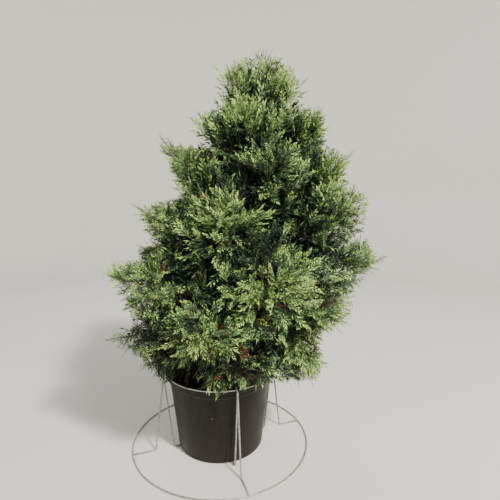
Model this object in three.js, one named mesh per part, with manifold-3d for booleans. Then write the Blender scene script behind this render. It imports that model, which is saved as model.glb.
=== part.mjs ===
// A potted leyland cypress about 1.7 m tall, in a squat black nursery pot steadied by a wire stand.
// Millimetres, +Z up. The origin is the middle of the pot's flat underside, and the tree leans to +X.
import * as THREE from 'three';
import { mergeVertices } from 'three/addons/utils/BufferGeometryUtils.js';
import Module from 'manifold-3d';

const wasm = await Module();
wasm.setup();

const { MathUtils, Vector3 } = THREE;
const UP = new Vector3(0, 0, 1);
const FULL_TURN = 2 * Math.PI;
const GOLDEN_ANGLE = Math.PI * (3 - Math.sqrt(5));

// Clear gap left between two pieces that touch
const SEAT = 0.3;

// The pot: a blow-moulded tub with a rolled rim, a stepped band under it and a flat bottom
const RIM_RADIUS = 250;
const POT_HEIGHT = 355;
const BASE_RADIUS = 193;
const BASE_ROUND = 9;
const WALL = 3.5;
const FLOOR = 4.5;
const RIM_DEPTH = 13;
const RIM_REACH = 19;
const BAND_DEPTH = 40;
const BAND_STEP = 3.5;
const LIP_ROUND = 3;
const WALL_DRAFT = 1;
const POT_SIDES = 40;
const SOIL_LEVEL = 305;
const SOIL_DOME = 6;
const SOIL_EDGE_DROP = 4;
const SOIL_ROOM = 0.7;

// The wire stand: four bent legs hooked over the rim, each welded to its quarter of a ground ring
const ROD = 7;
const ROD_SIDES = 6;
const RING_RADIUS = 400;
const RING_STEPS = 12;
const LEG_TURN = 19.8;
const LEG_NAMES = ['right', 'back', 'left', 'front'];
const OUTER_CORNER = 300;
const INNER_CORNER = 219;
const INNER_FOOT_END = 152;
const HOOK_DROP = 24;
const BEND_ROOM = 8;
const CHANNEL_WIDTH = 13;
const CHANNEL_HEIGHT = 9;
const CHANNEL_ROOM = 4;

// The trunk leans to the right from its foot, and straightens as it climbs
const TRUNK_FOOT_X = 22;
const TRUNK_LEAN = 181;
const TRUNK_BEND = 2.2;
const TRUNK_BOW = 14;
const TRUNK_RADIUS = 17;
const TRUNK_TIP_RADIUS = 4.5;
const TRUNK_FULLNESS = 0.9;
const FLARE_RADIUS = 13;
const FLARE_HEIGHT = 26;
const TRUNK_TIP = 1340;
const TRUNK_SIDES = 10;
const TRUNK_STEPS = 16;
const FLARE_CROWDING = 1.7;
const TRUNK_LINE_STEPS = 12;
const TREE_TOP = 1726;
const LEADER_TIP_X = 203;

// Tiers of branches from the soil up. Each has its lowest root on the trunk and the rise from one
// root to the next, the [x, z] of its furthest tips to the left and right, its half-depth, how far
// its front and back tips are lifted, the arch of a branch above its chord, the share of a branch
// that is bare bough, the length of the longest twigs, and the share of it that a twig's tip droops.
const TIERS = [
  { name: 'skirt', count: 5, turn: 56, root: 358, rise: 9, left: [-312, 418], right: [455, 424],
    depth: 355, lift: 45, arch: 30, bough: 0.22, twig: 215, droop: 0.24 },
  { name: 'low', count: 6, turn: 24, root: 450, rise: 12, left: [-436, 525], right: [550, 625],
    depth: 480, lift: 60, arch: 34, bough: 0.24, twig: 205, droop: 0.2 },
  { name: 'middle', count: 6, turn: 38, root: 600, rise: 12, left: [-440, 870], right: [655, 905],
    depth: 520, lift: -20, arch: 4, bough: 0.2, twig: 220, droop: 0.14 },
  { name: 'high', count: 6, turn: 22, root: 780, rise: 13, left: [-322, 1056], right: [614, 1110],
    depth: 420, lift: 40, arch: -22, bough: 0, twig: 215, droop: 0.08 },
  { name: 'shoulder', count: 6, turn: 34, root: 965, rise: 13, left: [-240, 1330], right: [542, 1268],
    depth: 345, lift: 0, arch: -30, bough: 0, twig: 215, droop: 0.02 },
  { name: 'top', count: 4, turn: -9, root: 1125, rise: 15, left: [-91, 1484], right: [428, 1476],
    depth: 235, lift: 0, arch: -26, bough: 0, twig: 190, droop: -0.04 },
  { name: 'spire', count: 2, turn: 14, root: 1245, rise: 15, left: [40, 1650], right: [330, 1630],
    depth: 110, lift: 0, arch: -24, bough: 0, twig: 170, droop: -0.06 },
];
const PLAN_SQUARENESS = 0.7;
const TIP_WANDER = 26;
const LEADER = { name: 'leader', seed: 99, twig: 160, droop: -0.08 };

// Boughs and the stems of the foliage
const BOUGH_RADIUS = 8;
const STEM_RADIUS = 4.5;
const STEM_TIP_RADIUS = 1.5;
const BOUGH_SIDES = 6;
const STEM_SIDES = 5;
const BOUGH_STEPS = 4;
const AXIS_STEPS = 9;
const STEM_END = 7;

// The foliage: a dense core round the stem, and toothed sprays on twigs that stand out of it
const SPACE_MARGIN = 7;
const LIMB_MARGIN = 6;
const POT_MARGIN = 12;
const POT_ROOM = 6;
const LOWEST_FOLIAGE = 290;
const STRIDE = 6;
const CORE_SIDES = 6;
const CORE_RINGS = 4;
const CORE_START = 0.5;
const CORE_END = 0.82;
const CORE_SHARE = 0.86;
const CORE_TIP_SHARE = 0.46;
const CORE_FLUTE = 0.24;
const CORE_LIMIT = 170;
const CORE_LEAST = 8;
const CORE_MOST = 0.9;
const SPRAYS = 10;
const FIRST_SPRAY = 0.1;
const LAST_SPRAY = 0.84;
const SPRAY_OPENING = 64;
const OPENING_AT_TIP = 0.65;
const TWIG_AT_FOOT = 1.1;
const TWIG_AT_TIP = 0.34;
const SPRAY_ROLL = 60;
const SPRAY_WIDTH = 0.8;
const NARROWEST_SPRAY = 0.5;
const NARROWING = 0.85;
const SHORTEST_SPRAY = 42;
const SPRAY_THICKNESS = 9;
const TIP_WIDTH = 0.62;

// The outline of a toothed spray: shares of its length, and of its width to either side. The teeth
// of one side stand a little further on than those of the other.
const SPRAY_TEETH = [[0.44, 0.5], [0.7, 0.36]];
const TEETH_STAGGER = 0.05;
const SPRAY_MIDDLE = 0.5;

// Details finer than the grain are smoothed away, and a mass that is grown again turns by the nudge
const FOLIAGE_GRAIN = 2.5;
const FINE_GRAIN = 0.05;
const NUDGE = 0.07;

// Colours and finishes
const FINISH = {
  pot: { color: 0x17181a, roughness: 0.42, metalness: 0 },
  soil: { color: 0x2b211a, roughness: 0.97, metalness: 0 },
  rod: { color: 0x8f9294, roughness: 0.45, metalness: 0.85 },
  bark: { color: 0x6b4a35, roughness: 0.9, metalness: 0 },
  foliage: { color: 0x4d7a3a, roughness: 0.72, metalness: 0 },
};

// A closed mesh with its shared corners merged, as a solid that can be cut and joined
function solid(geometry) {
  const bare = geometry.clone();
  bare.deleteAttribute('normal');
  bare.deleteAttribute('uv');
  const merged = mergeVertices(bare, 1e-3);
  const corner = merged.index.array;
  const faces = [];
  for (let i = 0; i < corner.length; i += 3) {
    const [a, b, c] = corner.slice(i, i + 3);
    if (a !== b && b !== c && c !== a) faces.push(a, b, c);
  }
  return new wasm.Manifold(new wasm.Mesh({
    numProp: 3,
    vertProperties: new Float32Array(merged.attributes.position.array),
    triVerts: new Uint32Array(faces),
  }));
}

// The surface of a solid, for drawing
function surface(body) {
  const { vertProperties, triVerts } = body.getMesh();
  const geometry = new THREE.BufferGeometry();
  geometry.setAttribute('position', new THREE.BufferAttribute(new Float32Array(vertProperties), 3));
  geometry.setIndex(new THREE.BufferAttribute(new Uint32Array(triVerts), 1));
  geometry.computeVertexNormals();
  return geometry;
}

// The largest single body of a solid, so that no loose scrap or sealed hollow stays. Its corners
// are merged first, so that bodies that only touch at a corner come apart.
function largestBody(body) {
  const bodies = solid(surface(body)).decompose();
  return bodies.reduce((a, b) => (b.volume() > a.volume() ? b : a));
}

// Whether no two corners of a body lie in one place
function hasCleanCorners(body) {
  const { vertProperties } = body.getMesh();
  const places = new Set();
  for (let i = 0; i < vertProperties.length; i += 3) {
    places.add([...vertProperties.slice(i, i + 3)].map((value) => value.toFixed(3)).join());
  }
  return places.size === vertProperties.length / 3;
}

// A skin through rings of points, closed by a fan to a point at either end
function loft(rings, start, end) {
  const position = [];
  const index = [];
  const sides = rings[0].length;
  const at = (ring, side) => ring * sides + (side % sides);
  rings.flat().forEach((point) => position.push(...point.toArray()));
  position.push(...start.toArray(), ...end.toArray());
  const startAt = rings.length * sides;
  const endAt = startAt + 1;
  for (let side = 0; side < sides; side += 1) {
    index.push(startAt, at(0, side + 1), at(0, side));
    index.push(endAt, at(rings.length - 1, side), at(rings.length - 1, side + 1));
    for (let ring = 0; ring < rings.length - 1; ring += 1) {
      index.push(at(ring, side), at(ring, side + 1), at(ring + 1, side + 1));
      index.push(at(ring, side), at(ring + 1, side + 1), at(ring + 1, side));
    }
  }
  const geometry = new THREE.BufferGeometry();
  geometry.setAttribute('position', new THREE.Float32BufferAttribute(position, 3));
  geometry.setIndex(index);
  return geometry;
}

// At each point of a line, its heading and two directions square to it, carried on without a twist
function framesAlong(points) {
  const last = points.length - 1;
  let side = null;
  return points.map((point, i) => {
    const before = points[Math.max(i - 1, 0)];
    const after = points[Math.min(i + 1, last)];
    const heading = after.clone().sub(before).normalize();
    const guide = side ?? (Math.abs(heading.z) > 0.8 ? new Vector3(0, 1, 0) : UP);
    side = guide.clone().addScaledVector(heading, -guide.dot(heading)).normalize();
    return { point, heading, side, across: heading.clone().cross(side) };
  });
}

// The direction at an angle round a line's heading
function around(frame, angle) {
  const direction = frame.side.clone().multiplyScalar(Math.cos(angle));
  return direction.addScaledVector(frame.across, Math.sin(angle));
}

// A round limb along a line, with a radius of its own at each point
function limb(points, radiusAt, sides) {
  const rings = framesAlong(points).map((frame, i) => {
    const radius = radiusAt(i / (points.length - 1));
    return Array.from({ length: sides }, (_, k) => {
      const out = around(frame, (FULL_TURN * (k + 0.5)) / sides);
      return frame.point.clone().addScaledVector(out, radius);
    });
  });
  return solid(loft(rings, points[0], points[points.length - 1]));
}

// A fixed pseudo-random number from 0 to 1 for a whole-number seed
function chance(seed) {
  const wave = Math.sin(seed * 12.9898) * 43758.5453;
  return wave - Math.floor(wave);
}

// The middle of the trunk at a height
function trunkAt(height) {
  const climb = MathUtils.clamp((height - SOIL_LEVEL) / (TREE_TOP - SOIL_LEVEL), 0, 1);
  const x = TRUNK_FOOT_X + TRUNK_LEAN * (1 - (1 - climb) ** TRUNK_BEND);
  return new Vector3(x, TRUNK_BOW * Math.sin(Math.PI * climb), height);
}

function trunkRadius(height) {
  const climb = MathUtils.clamp((height - SOIL_LEVEL) / (TRUNK_TIP - SOIL_LEVEL), 0, 1);
  const stem = MathUtils.lerp(TRUNK_RADIUS, TRUNK_TIP_RADIUS, climb ** TRUNK_FULLNESS);
  return stem + FLARE_RADIUS * Math.exp(-(height - SOIL_LEVEL) / FLARE_HEIGHT);
}

// The trunk, closer ringed in the flare; grown by an allowance it also cuts what meets it
function makeTrunk(grown) {
  const foot = SOIL_LEVEL + SOIL_DOME + SEAT;
  const rings = [];
  for (let step = 0; step <= TRUNK_STEPS; step += 1) {
    const middle = trunkAt(MathUtils.lerp(foot, TRUNK_TIP, (step / TRUNK_STEPS) ** FLARE_CROWDING));
    const radius = trunkRadius(middle.z) + grown;
    if (step === TRUNK_STEPS) middle.z += grown;
    rings.push(Array.from({ length: TRUNK_SIDES }, (_, k) => {
      const angle = (FULL_TURN * k) / TRUNK_SIDES;
      return middle.clone().add(new Vector3(radius * Math.cos(angle), radius * Math.sin(angle), 0));
    }));
  }
  const top = trunkAt(TRUNK_TIP);
  top.z += grown;
  return solid(loft(rings, trunkAt(foot), top));
}

// Where a tier's branch ends, for an azimuth in radians from +X
function tierTip(tier, azimuth, seed) {
  const squared = (value) => Math.sign(value) * Math.abs(value) ** PLAN_SQUARENESS;
  const across = squared(Math.cos(azimuth));
  const along = squared(Math.sin(azimuth));
  const middle = (tier.left[0] + tier.right[0]) / 2;
  const half = (tier.right[0] - tier.left[0]) / 2;
  const wander = TIP_WANDER * Math.abs(along);
  const height = MathUtils.lerp(tier.left[1], tier.right[1], (1 + across) / 2);
  return new Vector3(
    middle + half * across,
    tier.depth * along + wander * (2 * chance(seed) - 1),
    height + tier.lift * Math.abs(along) + wander * (2 * chance(seed + 0.5) - 1),
  );
}

// Points on a branch's bow from one share of its length to another
function bowPoints(bow, from, to, steps) {
  return Array.from({ length: steps + 1 }, (_, i) => bow.getPoint(MathUtils.lerp(from, to, i / steps)));
}

// The place in height of a tier's branch, so that neighbours round the trunk don't root side by side
function rootOrder(i, count) {
  const secondRound = 2 * i >= count && count % 2 === 0;
  return ((2 * i) % count) + (secondRound ? 1 : 0);
}

// Every branch of the crown: its bow from the trunk to its tip, its bare bough and its leafy axis
function layOutBranches() {
  const branches = [];
  TIERS.forEach((tier, level) => {
    for (let i = 0; i < tier.count; i += 1) {
      const seed = 10 * level + i + 1;
      const azimuth = MathUtils.degToRad(tier.turn) + (FULL_TURN * i) / tier.count;
      const root = trunkAt(tier.root + tier.rise * rootOrder(i, tier.count));
      const tip = tierTip(tier, azimuth, seed);
      const belly = root.clone().lerp(tip, 0.5).addScaledVector(UP, 2 * tier.arch);
      const bow = new THREE.QuadraticBezierCurve3(root, belly, tip);
      branches.push({
        name: `${tier.name}_${i + 1}`,
        seed,
        twig: tier.twig,
        droop: tier.droop,
        bough: tier.bough ? bowPoints(bow, 0, tier.bough, BOUGH_STEPS) : null,
        axis: bowPoints(bow, tier.bough, 1, AXIS_STEPS),
      });
    }
  });
  const leaderTip = new Vector3(LEADER_TIP_X, 0, TREE_TOP);
  const leader = new THREE.LineCurve3(trunkAt(TRUNK_TIP), leaderTip);
  branches.push({ ...LEADER, bough: null, axis: bowPoints(leader, 0, 1, AXIS_STEPS) });
  return branches;
}

// The distance from a point to a line of points
function distanceToLine(point, line) {
  const nearest = new Vector3();
  const piece = new THREE.Line3();
  let least = Infinity;
  for (let i = 0; i < line.length - 1; i += 1) {
    piece.set(line[i], line[i + 1]).closestPointToPoint(point, true, nearest);
    least = Math.min(least, nearest.distanceTo(point));
  }
  return least;
}

// Whether a point is clear of the pot: over its rim, outside it, or above the soil within it
function clearOfPot(point) {
  const radius = Math.hypot(point.x, point.y);
  if (point.z > POT_HEIGHT + POT_MARGIN) return true;
  if (point.z < LOWEST_FOLIAGE) return false;
  if (radius < RIM_RADIUS - RIM_REACH - WALL - POT_MARGIN) return point.z > SOIL_LEVEL + POT_MARGIN;
  return radius > RIM_RADIUS + POT_MARGIN;
}

// Whether a point lies in a branch's own space: nearer to its axis than to any other, with a margin,
// and clear of the pot and of every limb
function inSpace(point, branch, branches, limbs) {
  if (!clearOfPot(point)) return false;
  const own = distanceToLine(point, branch.axis);
  if (branches.some((other) => other !== branch
    && distanceToLine(point, other.axis) < own + SPACE_MARGIN)) return false;
  return limbs.every(({ points, radius }) => distanceToLine(point, points) > radius + LIMB_MARGIN);
}

// How far one can go from a point of the axis in a direction before leaving the branch's space
function clearWay(from, direction, most, isFree) {
  let way = 0;
  for (let reach = STRIDE; reach <= most; reach += STRIDE) {
    if (!isFree(from.clone().addScaledVector(direction, reach))) {
      if (way > 0) break;
      continue;
    }
    way = reach;
  }
  return way;
}

// The rim and the middle of a flat spray, which droops towards its tip
function sprayOutline(root, heading, flat, length, width, droop) {
  const place = (along, across) => root.clone()
    .addScaledVector(heading, along * length)
    .addScaledVector(flat, across * width)
    .addScaledVector(UP, -droop * length * along ** 2);
  const right = SPRAY_TEETH.map(([along, across]) => place(along, across));
  const left = SPRAY_TEETH.map(([along, across]) => place(along + TEETH_STAGGER, -across)).reverse();
  return { middle: place(SPRAY_MIDDLE, 0), rim: [root.clone(), ...right, place(1, 0), ...left] };
}

// A flat spray of foliage, thick along its twig and thin at its toothed edge
function makeSpray(outline, heading, flat) {
  const lift = flat.clone().cross(heading).multiplyScalar(SPRAY_THICKNESS / 2);
  const below = outline.middle.clone().sub(lift);
  const above = outline.middle.clone().add(lift);
  return solid(loft([outline.rim], below, above));
}

// One side twig with its spray, or null where it finds no room in its branch's space
function growSpray(frame, heading, roll, longest, droop, isFree, obstacles) {
  const reach = clearWay(frame.point, heading, longest, isFree);
  if (reach < SHORTEST_SPRAY) return null;
  const flat = heading.clone().cross(UP).normalize().applyAxisAngle(heading, roll);
  const fullWidth = SPRAY_WIDTH * reach;
  for (let width = fullWidth; width > NARROWEST_SPRAY * fullWidth; width *= NARROWING) {
    const outline = sprayOutline(frame.point, heading, flat, reach, width, droop);
    if (outline.rim.slice(1).every(isFree)) {
      const spray = makeSpray(outline, heading, flat);
      const clear = spray.intersect(obstacles).isEmpty();
      return clear ? spray : null;
    }
  }
  return null;
}

// The dense inner foliage round a branch's axis, kept well inside its space
function makeCore(branch, frames, isFree) {
  const rings = [];
  for (let ring = 0; ring < CORE_RINGS; ring += 1) {
    const share = (CORE_END * (ring + CORE_START)) / CORE_RINGS;
    const frame = frames[Math.round(share * AXIS_STEPS)];
    const fullness = MathUtils.lerp(CORE_SHARE, CORE_TIP_SHARE, ring / (CORE_RINGS - 1));
    rings.push(Array.from({ length: CORE_SIDES }, (_, k) => {
      const out = around(frame, (FULL_TURN * (k + 0.5 * (ring % 2))) / CORE_SIDES);
      const way = clearWay(frame.point, out, CORE_LIMIT, isFree);
      const flute = 1 + CORE_FLUTE * (2 * chance(branch.seed + ring + 0.17 * k) - 1);
      const most = Math.max(CORE_MOST * way, CORE_LEAST);
      const radius = MathUtils.clamp(fullness * way * flute, CORE_LEAST, most);
      return frame.point.clone().addScaledVector(out, radius);
    }));
  }
  return solid(loft(rings, frames[0].point, frames[STEM_END + 1].point));
}

// One mass of foliage: a stem along the branch's axis, its core, and sprays on twigs all round it,
// the first of them at a given turn
function growMass(branch, branches, limbs, obstacles, firstTurn) {
  const isFree = (point) => inSpace(point, branch, branches, limbs);
  const frames = framesAlong(branch.axis);
  const stemRadius = (share) => MathUtils.lerp(STEM_RADIUS, STEM_TIP_RADIUS, share);
  const stem = limb(branch.axis.slice(0, STEM_END + 1), stemRadius, STEM_SIDES);
  const pieces = [stem, makeCore(branch, frames, isFree)];
  for (let k = 0; k < SPRAYS; k += 1) {
    const share = MathUtils.lerp(FIRST_SPRAY, LAST_SPRAY, k / (SPRAYS - 1));
    const frame = frames[Math.round(share * AXIS_STEPS)];
    const angle = GOLDEN_ANGLE * k + firstTurn;
    const opening = MathUtils.degToRad(SPRAY_OPENING * MathUtils.lerp(1, OPENING_AT_TIP, share));
    const heading = frame.heading.clone().multiplyScalar(Math.cos(opening))
      .addScaledVector(around(frame, angle), Math.sin(opening)).normalize();
    const longest = branch.twig * MathUtils.lerp(TWIG_AT_FOOT, TWIG_AT_TIP, share);
    const roll = MathUtils.degToRad(SPRAY_ROLL * (2 * chance(branch.seed + 0.1 * k) - 1));
    const spray = growSpray(frame, heading, roll, longest, branch.droop, isFree, obstacles);
    if (spray) pieces.push(spray);
  }
  const tipFrame = frames[STEM_END - 1];
  const toTip = branch.axis[AXIS_STEPS].clone().sub(tipFrame.point);
  const tipLength = toTip.length();
  toTip.normalize();
  for (const angle of [0, Math.PI / 2]) {
    const flat = around(tipFrame, angle).cross(toTip).normalize();
    const outline = sprayOutline(tipFrame.point, toTip, flat, tipLength, tipLength * TIP_WIDTH, 0);
    pieces.push(makeSpray(outline, toTip, flat));
  }
  const whole = largestBody(wasm.Manifold.union(pieces)).simplify(FOLIAGE_GRAIN);
  return largestBody(largestBody(whole.subtract(obstacles)).simplify(FINE_GRAIN));
}

// The pot's shell by its profile, raised over the four channels that its stand's feet lie in
function makePot() {
  const underRim = RIM_RADIUS - RIM_REACH;
  const bandFoot = POT_HEIGHT - BAND_DEPTH;
  const innerWall = underRim - WALL;
  const profile = [
    [0, 0],
    [BASE_RADIUS - BASE_ROUND, 0],
    [BASE_RADIUS - BASE_ROUND * 0.3, BASE_ROUND * 0.3],
    [BASE_RADIUS, BASE_ROUND],
    [underRim - BAND_STEP, bandFoot - BAND_STEP],
    [underRim, bandFoot],
    [underRim + WALL_DRAFT, POT_HEIGHT - RIM_DEPTH],
    [RIM_RADIUS - LIP_ROUND, POT_HEIGHT - RIM_DEPTH],
    [RIM_RADIUS, POT_HEIGHT - RIM_DEPTH + LIP_ROUND],
    [RIM_RADIUS, POT_HEIGHT - LIP_ROUND],
    [RIM_RADIUS - LIP_ROUND, POT_HEIGHT],
    [innerWall + LIP_ROUND, POT_HEIGHT],
    [innerWall, POT_HEIGHT - LIP_ROUND],
    [innerWall - BAND_STEP, bandFoot - 2 * BAND_STEP],
    [BASE_RADIUS - WALL, BASE_ROUND + SEAT],
    [BASE_RADIUS - BASE_ROUND - WALL, FLOOR],
    [0, FLOOR],
  ];
  const points = profile.map(([radius, height]) => new THREE.Vector2(radius, height));
  const lathe = new THREE.LatheGeometry(points, POT_SIDES);
  lathe.rotateX(Math.PI / 2);
  return solid(lathe);
}

// The pot and what fills it, with the room that foliage leaves round them
function makePotRoom() {
  const mouth = RIM_RADIUS - RIM_REACH - WALL - POT_ROOM;
  const points = [
    [0, 0],
    [BASE_RADIUS, 0],
    [RIM_RADIUS + POT_ROOM, POT_HEIGHT - RIM_DEPTH - POT_ROOM],
    [RIM_RADIUS + POT_ROOM, POT_HEIGHT + POT_ROOM],
    [mouth, POT_HEIGHT + POT_ROOM],
    [mouth, SOIL_LEVEL + SOIL_DOME + POT_ROOM / 2],
    [0, SOIL_LEVEL + SOIL_DOME + POT_ROOM / 2],
  ].map(([radius, height]) => new THREE.Vector2(radius, height));
  return solid(new THREE.LatheGeometry(points, POT_SIDES).rotateX(Math.PI / 2));
}

// A channel's hollow along a radius, from just under the floor; grown it is the channel's roof
function radialBar(turn, from, to, grown) {
  const top = CHANNEL_HEIGHT + grown;
  const under = grown > 0 ? 0 : SEAT;
  const bar = new THREE.BoxGeometry(to - from, CHANNEL_WIDTH + 2 * grown, top + under);
  bar.translate((from + to) / 2, 0, (top - under) / 2);
  bar.rotateZ(turn);
  return solid(bar);
}

// What fills the pot: potting soil with a low dome, flat round the trunk's foot
function makeSoil() {
  const bandFoot = POT_HEIGHT - BAND_DEPTH;
  const slope = (RIM_RADIUS - RIM_REACH - BAND_STEP - BASE_RADIUS) / (bandFoot - BASE_ROUND);
  const wallAt = (height) => BASE_RADIUS + slope * (height - BASE_ROUND) - WALL - SEAT - SOIL_ROOM;
  const bottom = FLOOR + SEAT;
  const points = [
    [0, bottom],
    [BASE_RADIUS - BASE_ROUND - WALL - LIP_ROUND, bottom],
    [wallAt(BASE_ROUND) - SOIL_ROOM, BASE_ROUND + LIP_ROUND],
    [wallAt(SOIL_LEVEL), SOIL_LEVEL - SOIL_EDGE_DROP],
    [wallAt(SOIL_LEVEL) * 0.8, SOIL_LEVEL],
    [TRUNK_RADIUS * 4, SOIL_LEVEL + SOIL_DOME],
    [0, SOIL_LEVEL + SOIL_DOME],
  ].map(([radius, height]) => new THREE.Vector2(radius, height));
  const lathe = new THREE.LatheGeometry(points, POT_SIDES);
  lathe.rotateX(Math.PI / 2);
  return solid(lathe);
}

// One leg of the stand: an outer rod from its foot up and over the rim, an inner rod that stands
// beside the wall with its foot under the pot, and the leg's own quarter of the ground ring
function makeLeg(turn, grown) {
  const half = ROD / 2;
  const lie = half * Math.cos(Math.PI / ROD_SIDES);
  const rimTop = POT_HEIGHT + lie + SEAT;
  const beside = RIM_RADIUS + half + 2;
  const hookInside = RIM_RADIUS - RIM_REACH - WALL - half - 3;
  const spin = new THREE.Quaternion().setFromAxisAngle(UP, turn);
  const route = (list) => list.map(([r, z]) => new Vector3(r, 0, z).applyQuaternion(spin));
  const outerRod = route([
    [RING_RADIUS, lie],
    [OUTER_CORNER + BEND_ROOM, lie],
    [OUTER_CORNER, lie + half],
    [beside + half, POT_HEIGHT - RIM_DEPTH],
    [beside, POT_HEIGHT - half],
    [RIM_RADIUS - 1, rimTop],
    [hookInside + half, rimTop],
    [hookInside, rimTop - ROD],
    [hookInside - 1, POT_HEIGHT - HOOK_DROP],
  ]);
  const innerRod = route([
    [INNER_FOOT_END, lie],
    [INNER_CORNER - BEND_ROOM, lie],
    [INNER_CORNER, lie + half],
    [beside + 1, POT_HEIGHT - 2 * RIM_DEPTH],
    [beside + half, POT_HEIGHT - RIM_DEPTH],
  ]);
  const openEnd = (1.5 * SEAT) / RING_RADIUS;
  const ringArc = Array.from({ length: RING_STEPS + 1 }, (_, i) => {
    const reach = Math.PI / 4 - openEnd;
    const angle = turn + MathUtils.lerp(-reach, reach, i / RING_STEPS);
    return new Vector3(RING_RADIUS * Math.cos(angle), RING_RADIUS * Math.sin(angle), lie);
  });
  const rods = [outerRod, innerRod, ringArc]
    .map((points) => limb(points, () => half + grown, ROD_SIDES));
  return largestBody(wasm.Manifold.union(rods));
}

const tree = new THREE.Group();

function addPart(name, body, finish) {
  const material = new THREE.MeshStandardMaterial(finish);
  const mesh = new THREE.Mesh(surface(body), material);
  mesh.name = name;
  tree.add(mesh);
}

// Pot, soil and stand
const legTurns = LEG_NAMES.map((_, i) => MathUtils.degToRad(LEG_TURN + 90 * i));
let pot = makePot();
let soil = makeSoil();
for (const turn of legTurns) {
  const inner = INNER_FOOT_END - CHANNEL_ROOM;
  const outside = BASE_RADIUS + CHANNEL_WIDTH;
  const cover = WALL + SEAT;
  const hollow = radialBar(turn, inner, outside, 0);
  const raised = radialBar(turn, inner - WALL, BASE_RADIUS - WALL, WALL);
  const soilCut = radialBar(turn, inner - cover, outside, cover);
  pot = pot.add(raised).subtract(hollow);
  soil = soil.subtract(soilCut);
}
addPart('pot', largestBody(pot), FINISH.pot);
addPart('soil', largestBody(soil), FINISH.soil);
legTurns.forEach((turn, i) => addPart(`stand_${LEG_NAMES[i]}`, makeLeg(turn, 0), FINISH.rod));

// Trunk and boughs
const branches = layOutBranches();
const boughRadius = (share) => MathUtils.lerp(BOUGH_RADIUS, STEM_RADIUS, share);
const trunkCutter = makeTrunk(SEAT);
addPart('trunk', makeTrunk(0), FINISH.bark);
const trunkLine = Array.from({ length: TRUNK_LINE_STEPS + 1 }, (_, i) => (
  trunkAt(MathUtils.lerp(SOIL_LEVEL, TRUNK_TIP, i / TRUNK_LINE_STEPS))));
const limbs = [{ points: trunkLine, radius: TRUNK_RADIUS }];
const grownLimbs = [trunkCutter];
for (const branch of branches.filter(({ bough }) => bough)) {
  const body = limb(branch.bough, boughRadius, BOUGH_SIDES).subtract(trunkCutter);
  addPart(`bough_${branch.name}`, largestBody(body), FINISH.bark);
  limbs.push({ points: branch.bough, radius: BOUGH_RADIUS });
  const past = branch.bough[BOUGH_STEPS].clone().sub(branch.bough[BOUGH_STEPS - 1]).setLength(SEAT);
  const reach = [...branch.bough.slice(0, BOUGH_STEPS), branch.bough[BOUGH_STEPS].clone().add(past)];
  grownLimbs.push(limb(reach, (share) => boughRadius(share) + SEAT, BOUGH_SIDES));
}
const obstacles = wasm.Manifold.union([
  ...grownLimbs, makePotRoom(), ...legTurns.map((turn) => makeLeg(turn, POT_ROOM))]);

// The masses of foliage. One whose sprays would meet corner to corner is grown again, turned a little.
for (const branch of branches) {
  let turn = FULL_TURN * chance(branch.seed);
  let mass = growMass(branch, branches, limbs, obstacles, turn);
  while (!hasCleanCorners(mass)) {
    turn += NUDGE;
    mass = growMass(branch, branches, limbs, obstacles, turn);
  }
  addPart(`foliage_${branch.name}`, mass, FINISH.foliage);
}

export default tree;
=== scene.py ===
import math
from collections import namedtuple

import bmesh
import bpy
import numpy as np
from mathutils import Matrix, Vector


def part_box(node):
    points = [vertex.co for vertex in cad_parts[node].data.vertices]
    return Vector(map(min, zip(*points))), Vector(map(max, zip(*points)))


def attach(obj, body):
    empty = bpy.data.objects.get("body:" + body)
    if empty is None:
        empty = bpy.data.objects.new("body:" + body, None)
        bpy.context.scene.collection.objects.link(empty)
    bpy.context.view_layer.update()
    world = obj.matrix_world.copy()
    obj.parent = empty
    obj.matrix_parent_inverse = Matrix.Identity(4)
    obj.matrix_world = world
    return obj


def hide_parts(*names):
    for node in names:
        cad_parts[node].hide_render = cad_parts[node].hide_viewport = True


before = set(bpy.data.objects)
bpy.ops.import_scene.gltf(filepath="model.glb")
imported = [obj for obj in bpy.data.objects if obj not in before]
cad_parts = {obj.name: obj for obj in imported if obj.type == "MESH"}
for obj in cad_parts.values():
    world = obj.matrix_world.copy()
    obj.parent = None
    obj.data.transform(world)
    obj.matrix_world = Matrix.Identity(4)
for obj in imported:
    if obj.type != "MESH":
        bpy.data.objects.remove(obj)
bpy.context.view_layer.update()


# Pot
# The pot is a squat nursery tub, blow-moulded in black polyethylene with a thin rolled rim, a
# stepped band under it and a rounded foot. Its wall is turned from one profile, and four shallow
# channels are pressed up into its base, where the wires of the stand pass under it.
MM = 0.001
FULL_TURN = 2 * math.pi
_, POT_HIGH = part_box("pot")
RIM_RADIUS = POT_HIGH.x
POT_HEIGHT = POT_HIGH.z
BASE_RADIUS = 193 * MM
FOOT_ROUND = 9 * MM
WALL = 3.5 * MM
FLOOR = 4.5 * MM
RIM_DEPTH = 13 * MM
RIM_REACH = 19 * MM
BAND_DEPTH = 40 * MM
BAND_STEP = 3.5 * MM
BAND_EASE = 0.6 * MM
LIP_ROUND = 3 * MM
LIP_STEPS = 5
POT_SEGMENTS = 144
CRISP_EDGE = 35
LEG_TURNS = [math.radians(19.8 + 90 * i) for i in range(4)]
CHANNEL_FROM = 148 * MM
CHANNEL_WIDTH = 13 * MM
CHANNEL_HEIGHT = 9 * MM
COVER_LOW = 0.4 * MM


def shown(name, mesh):
    """A new object in the scene for a mesh."""
    piece = bpy.data.objects.new(name, mesh)
    bpy.context.scene.collection.objects.link(piece)
    return piece


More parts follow.
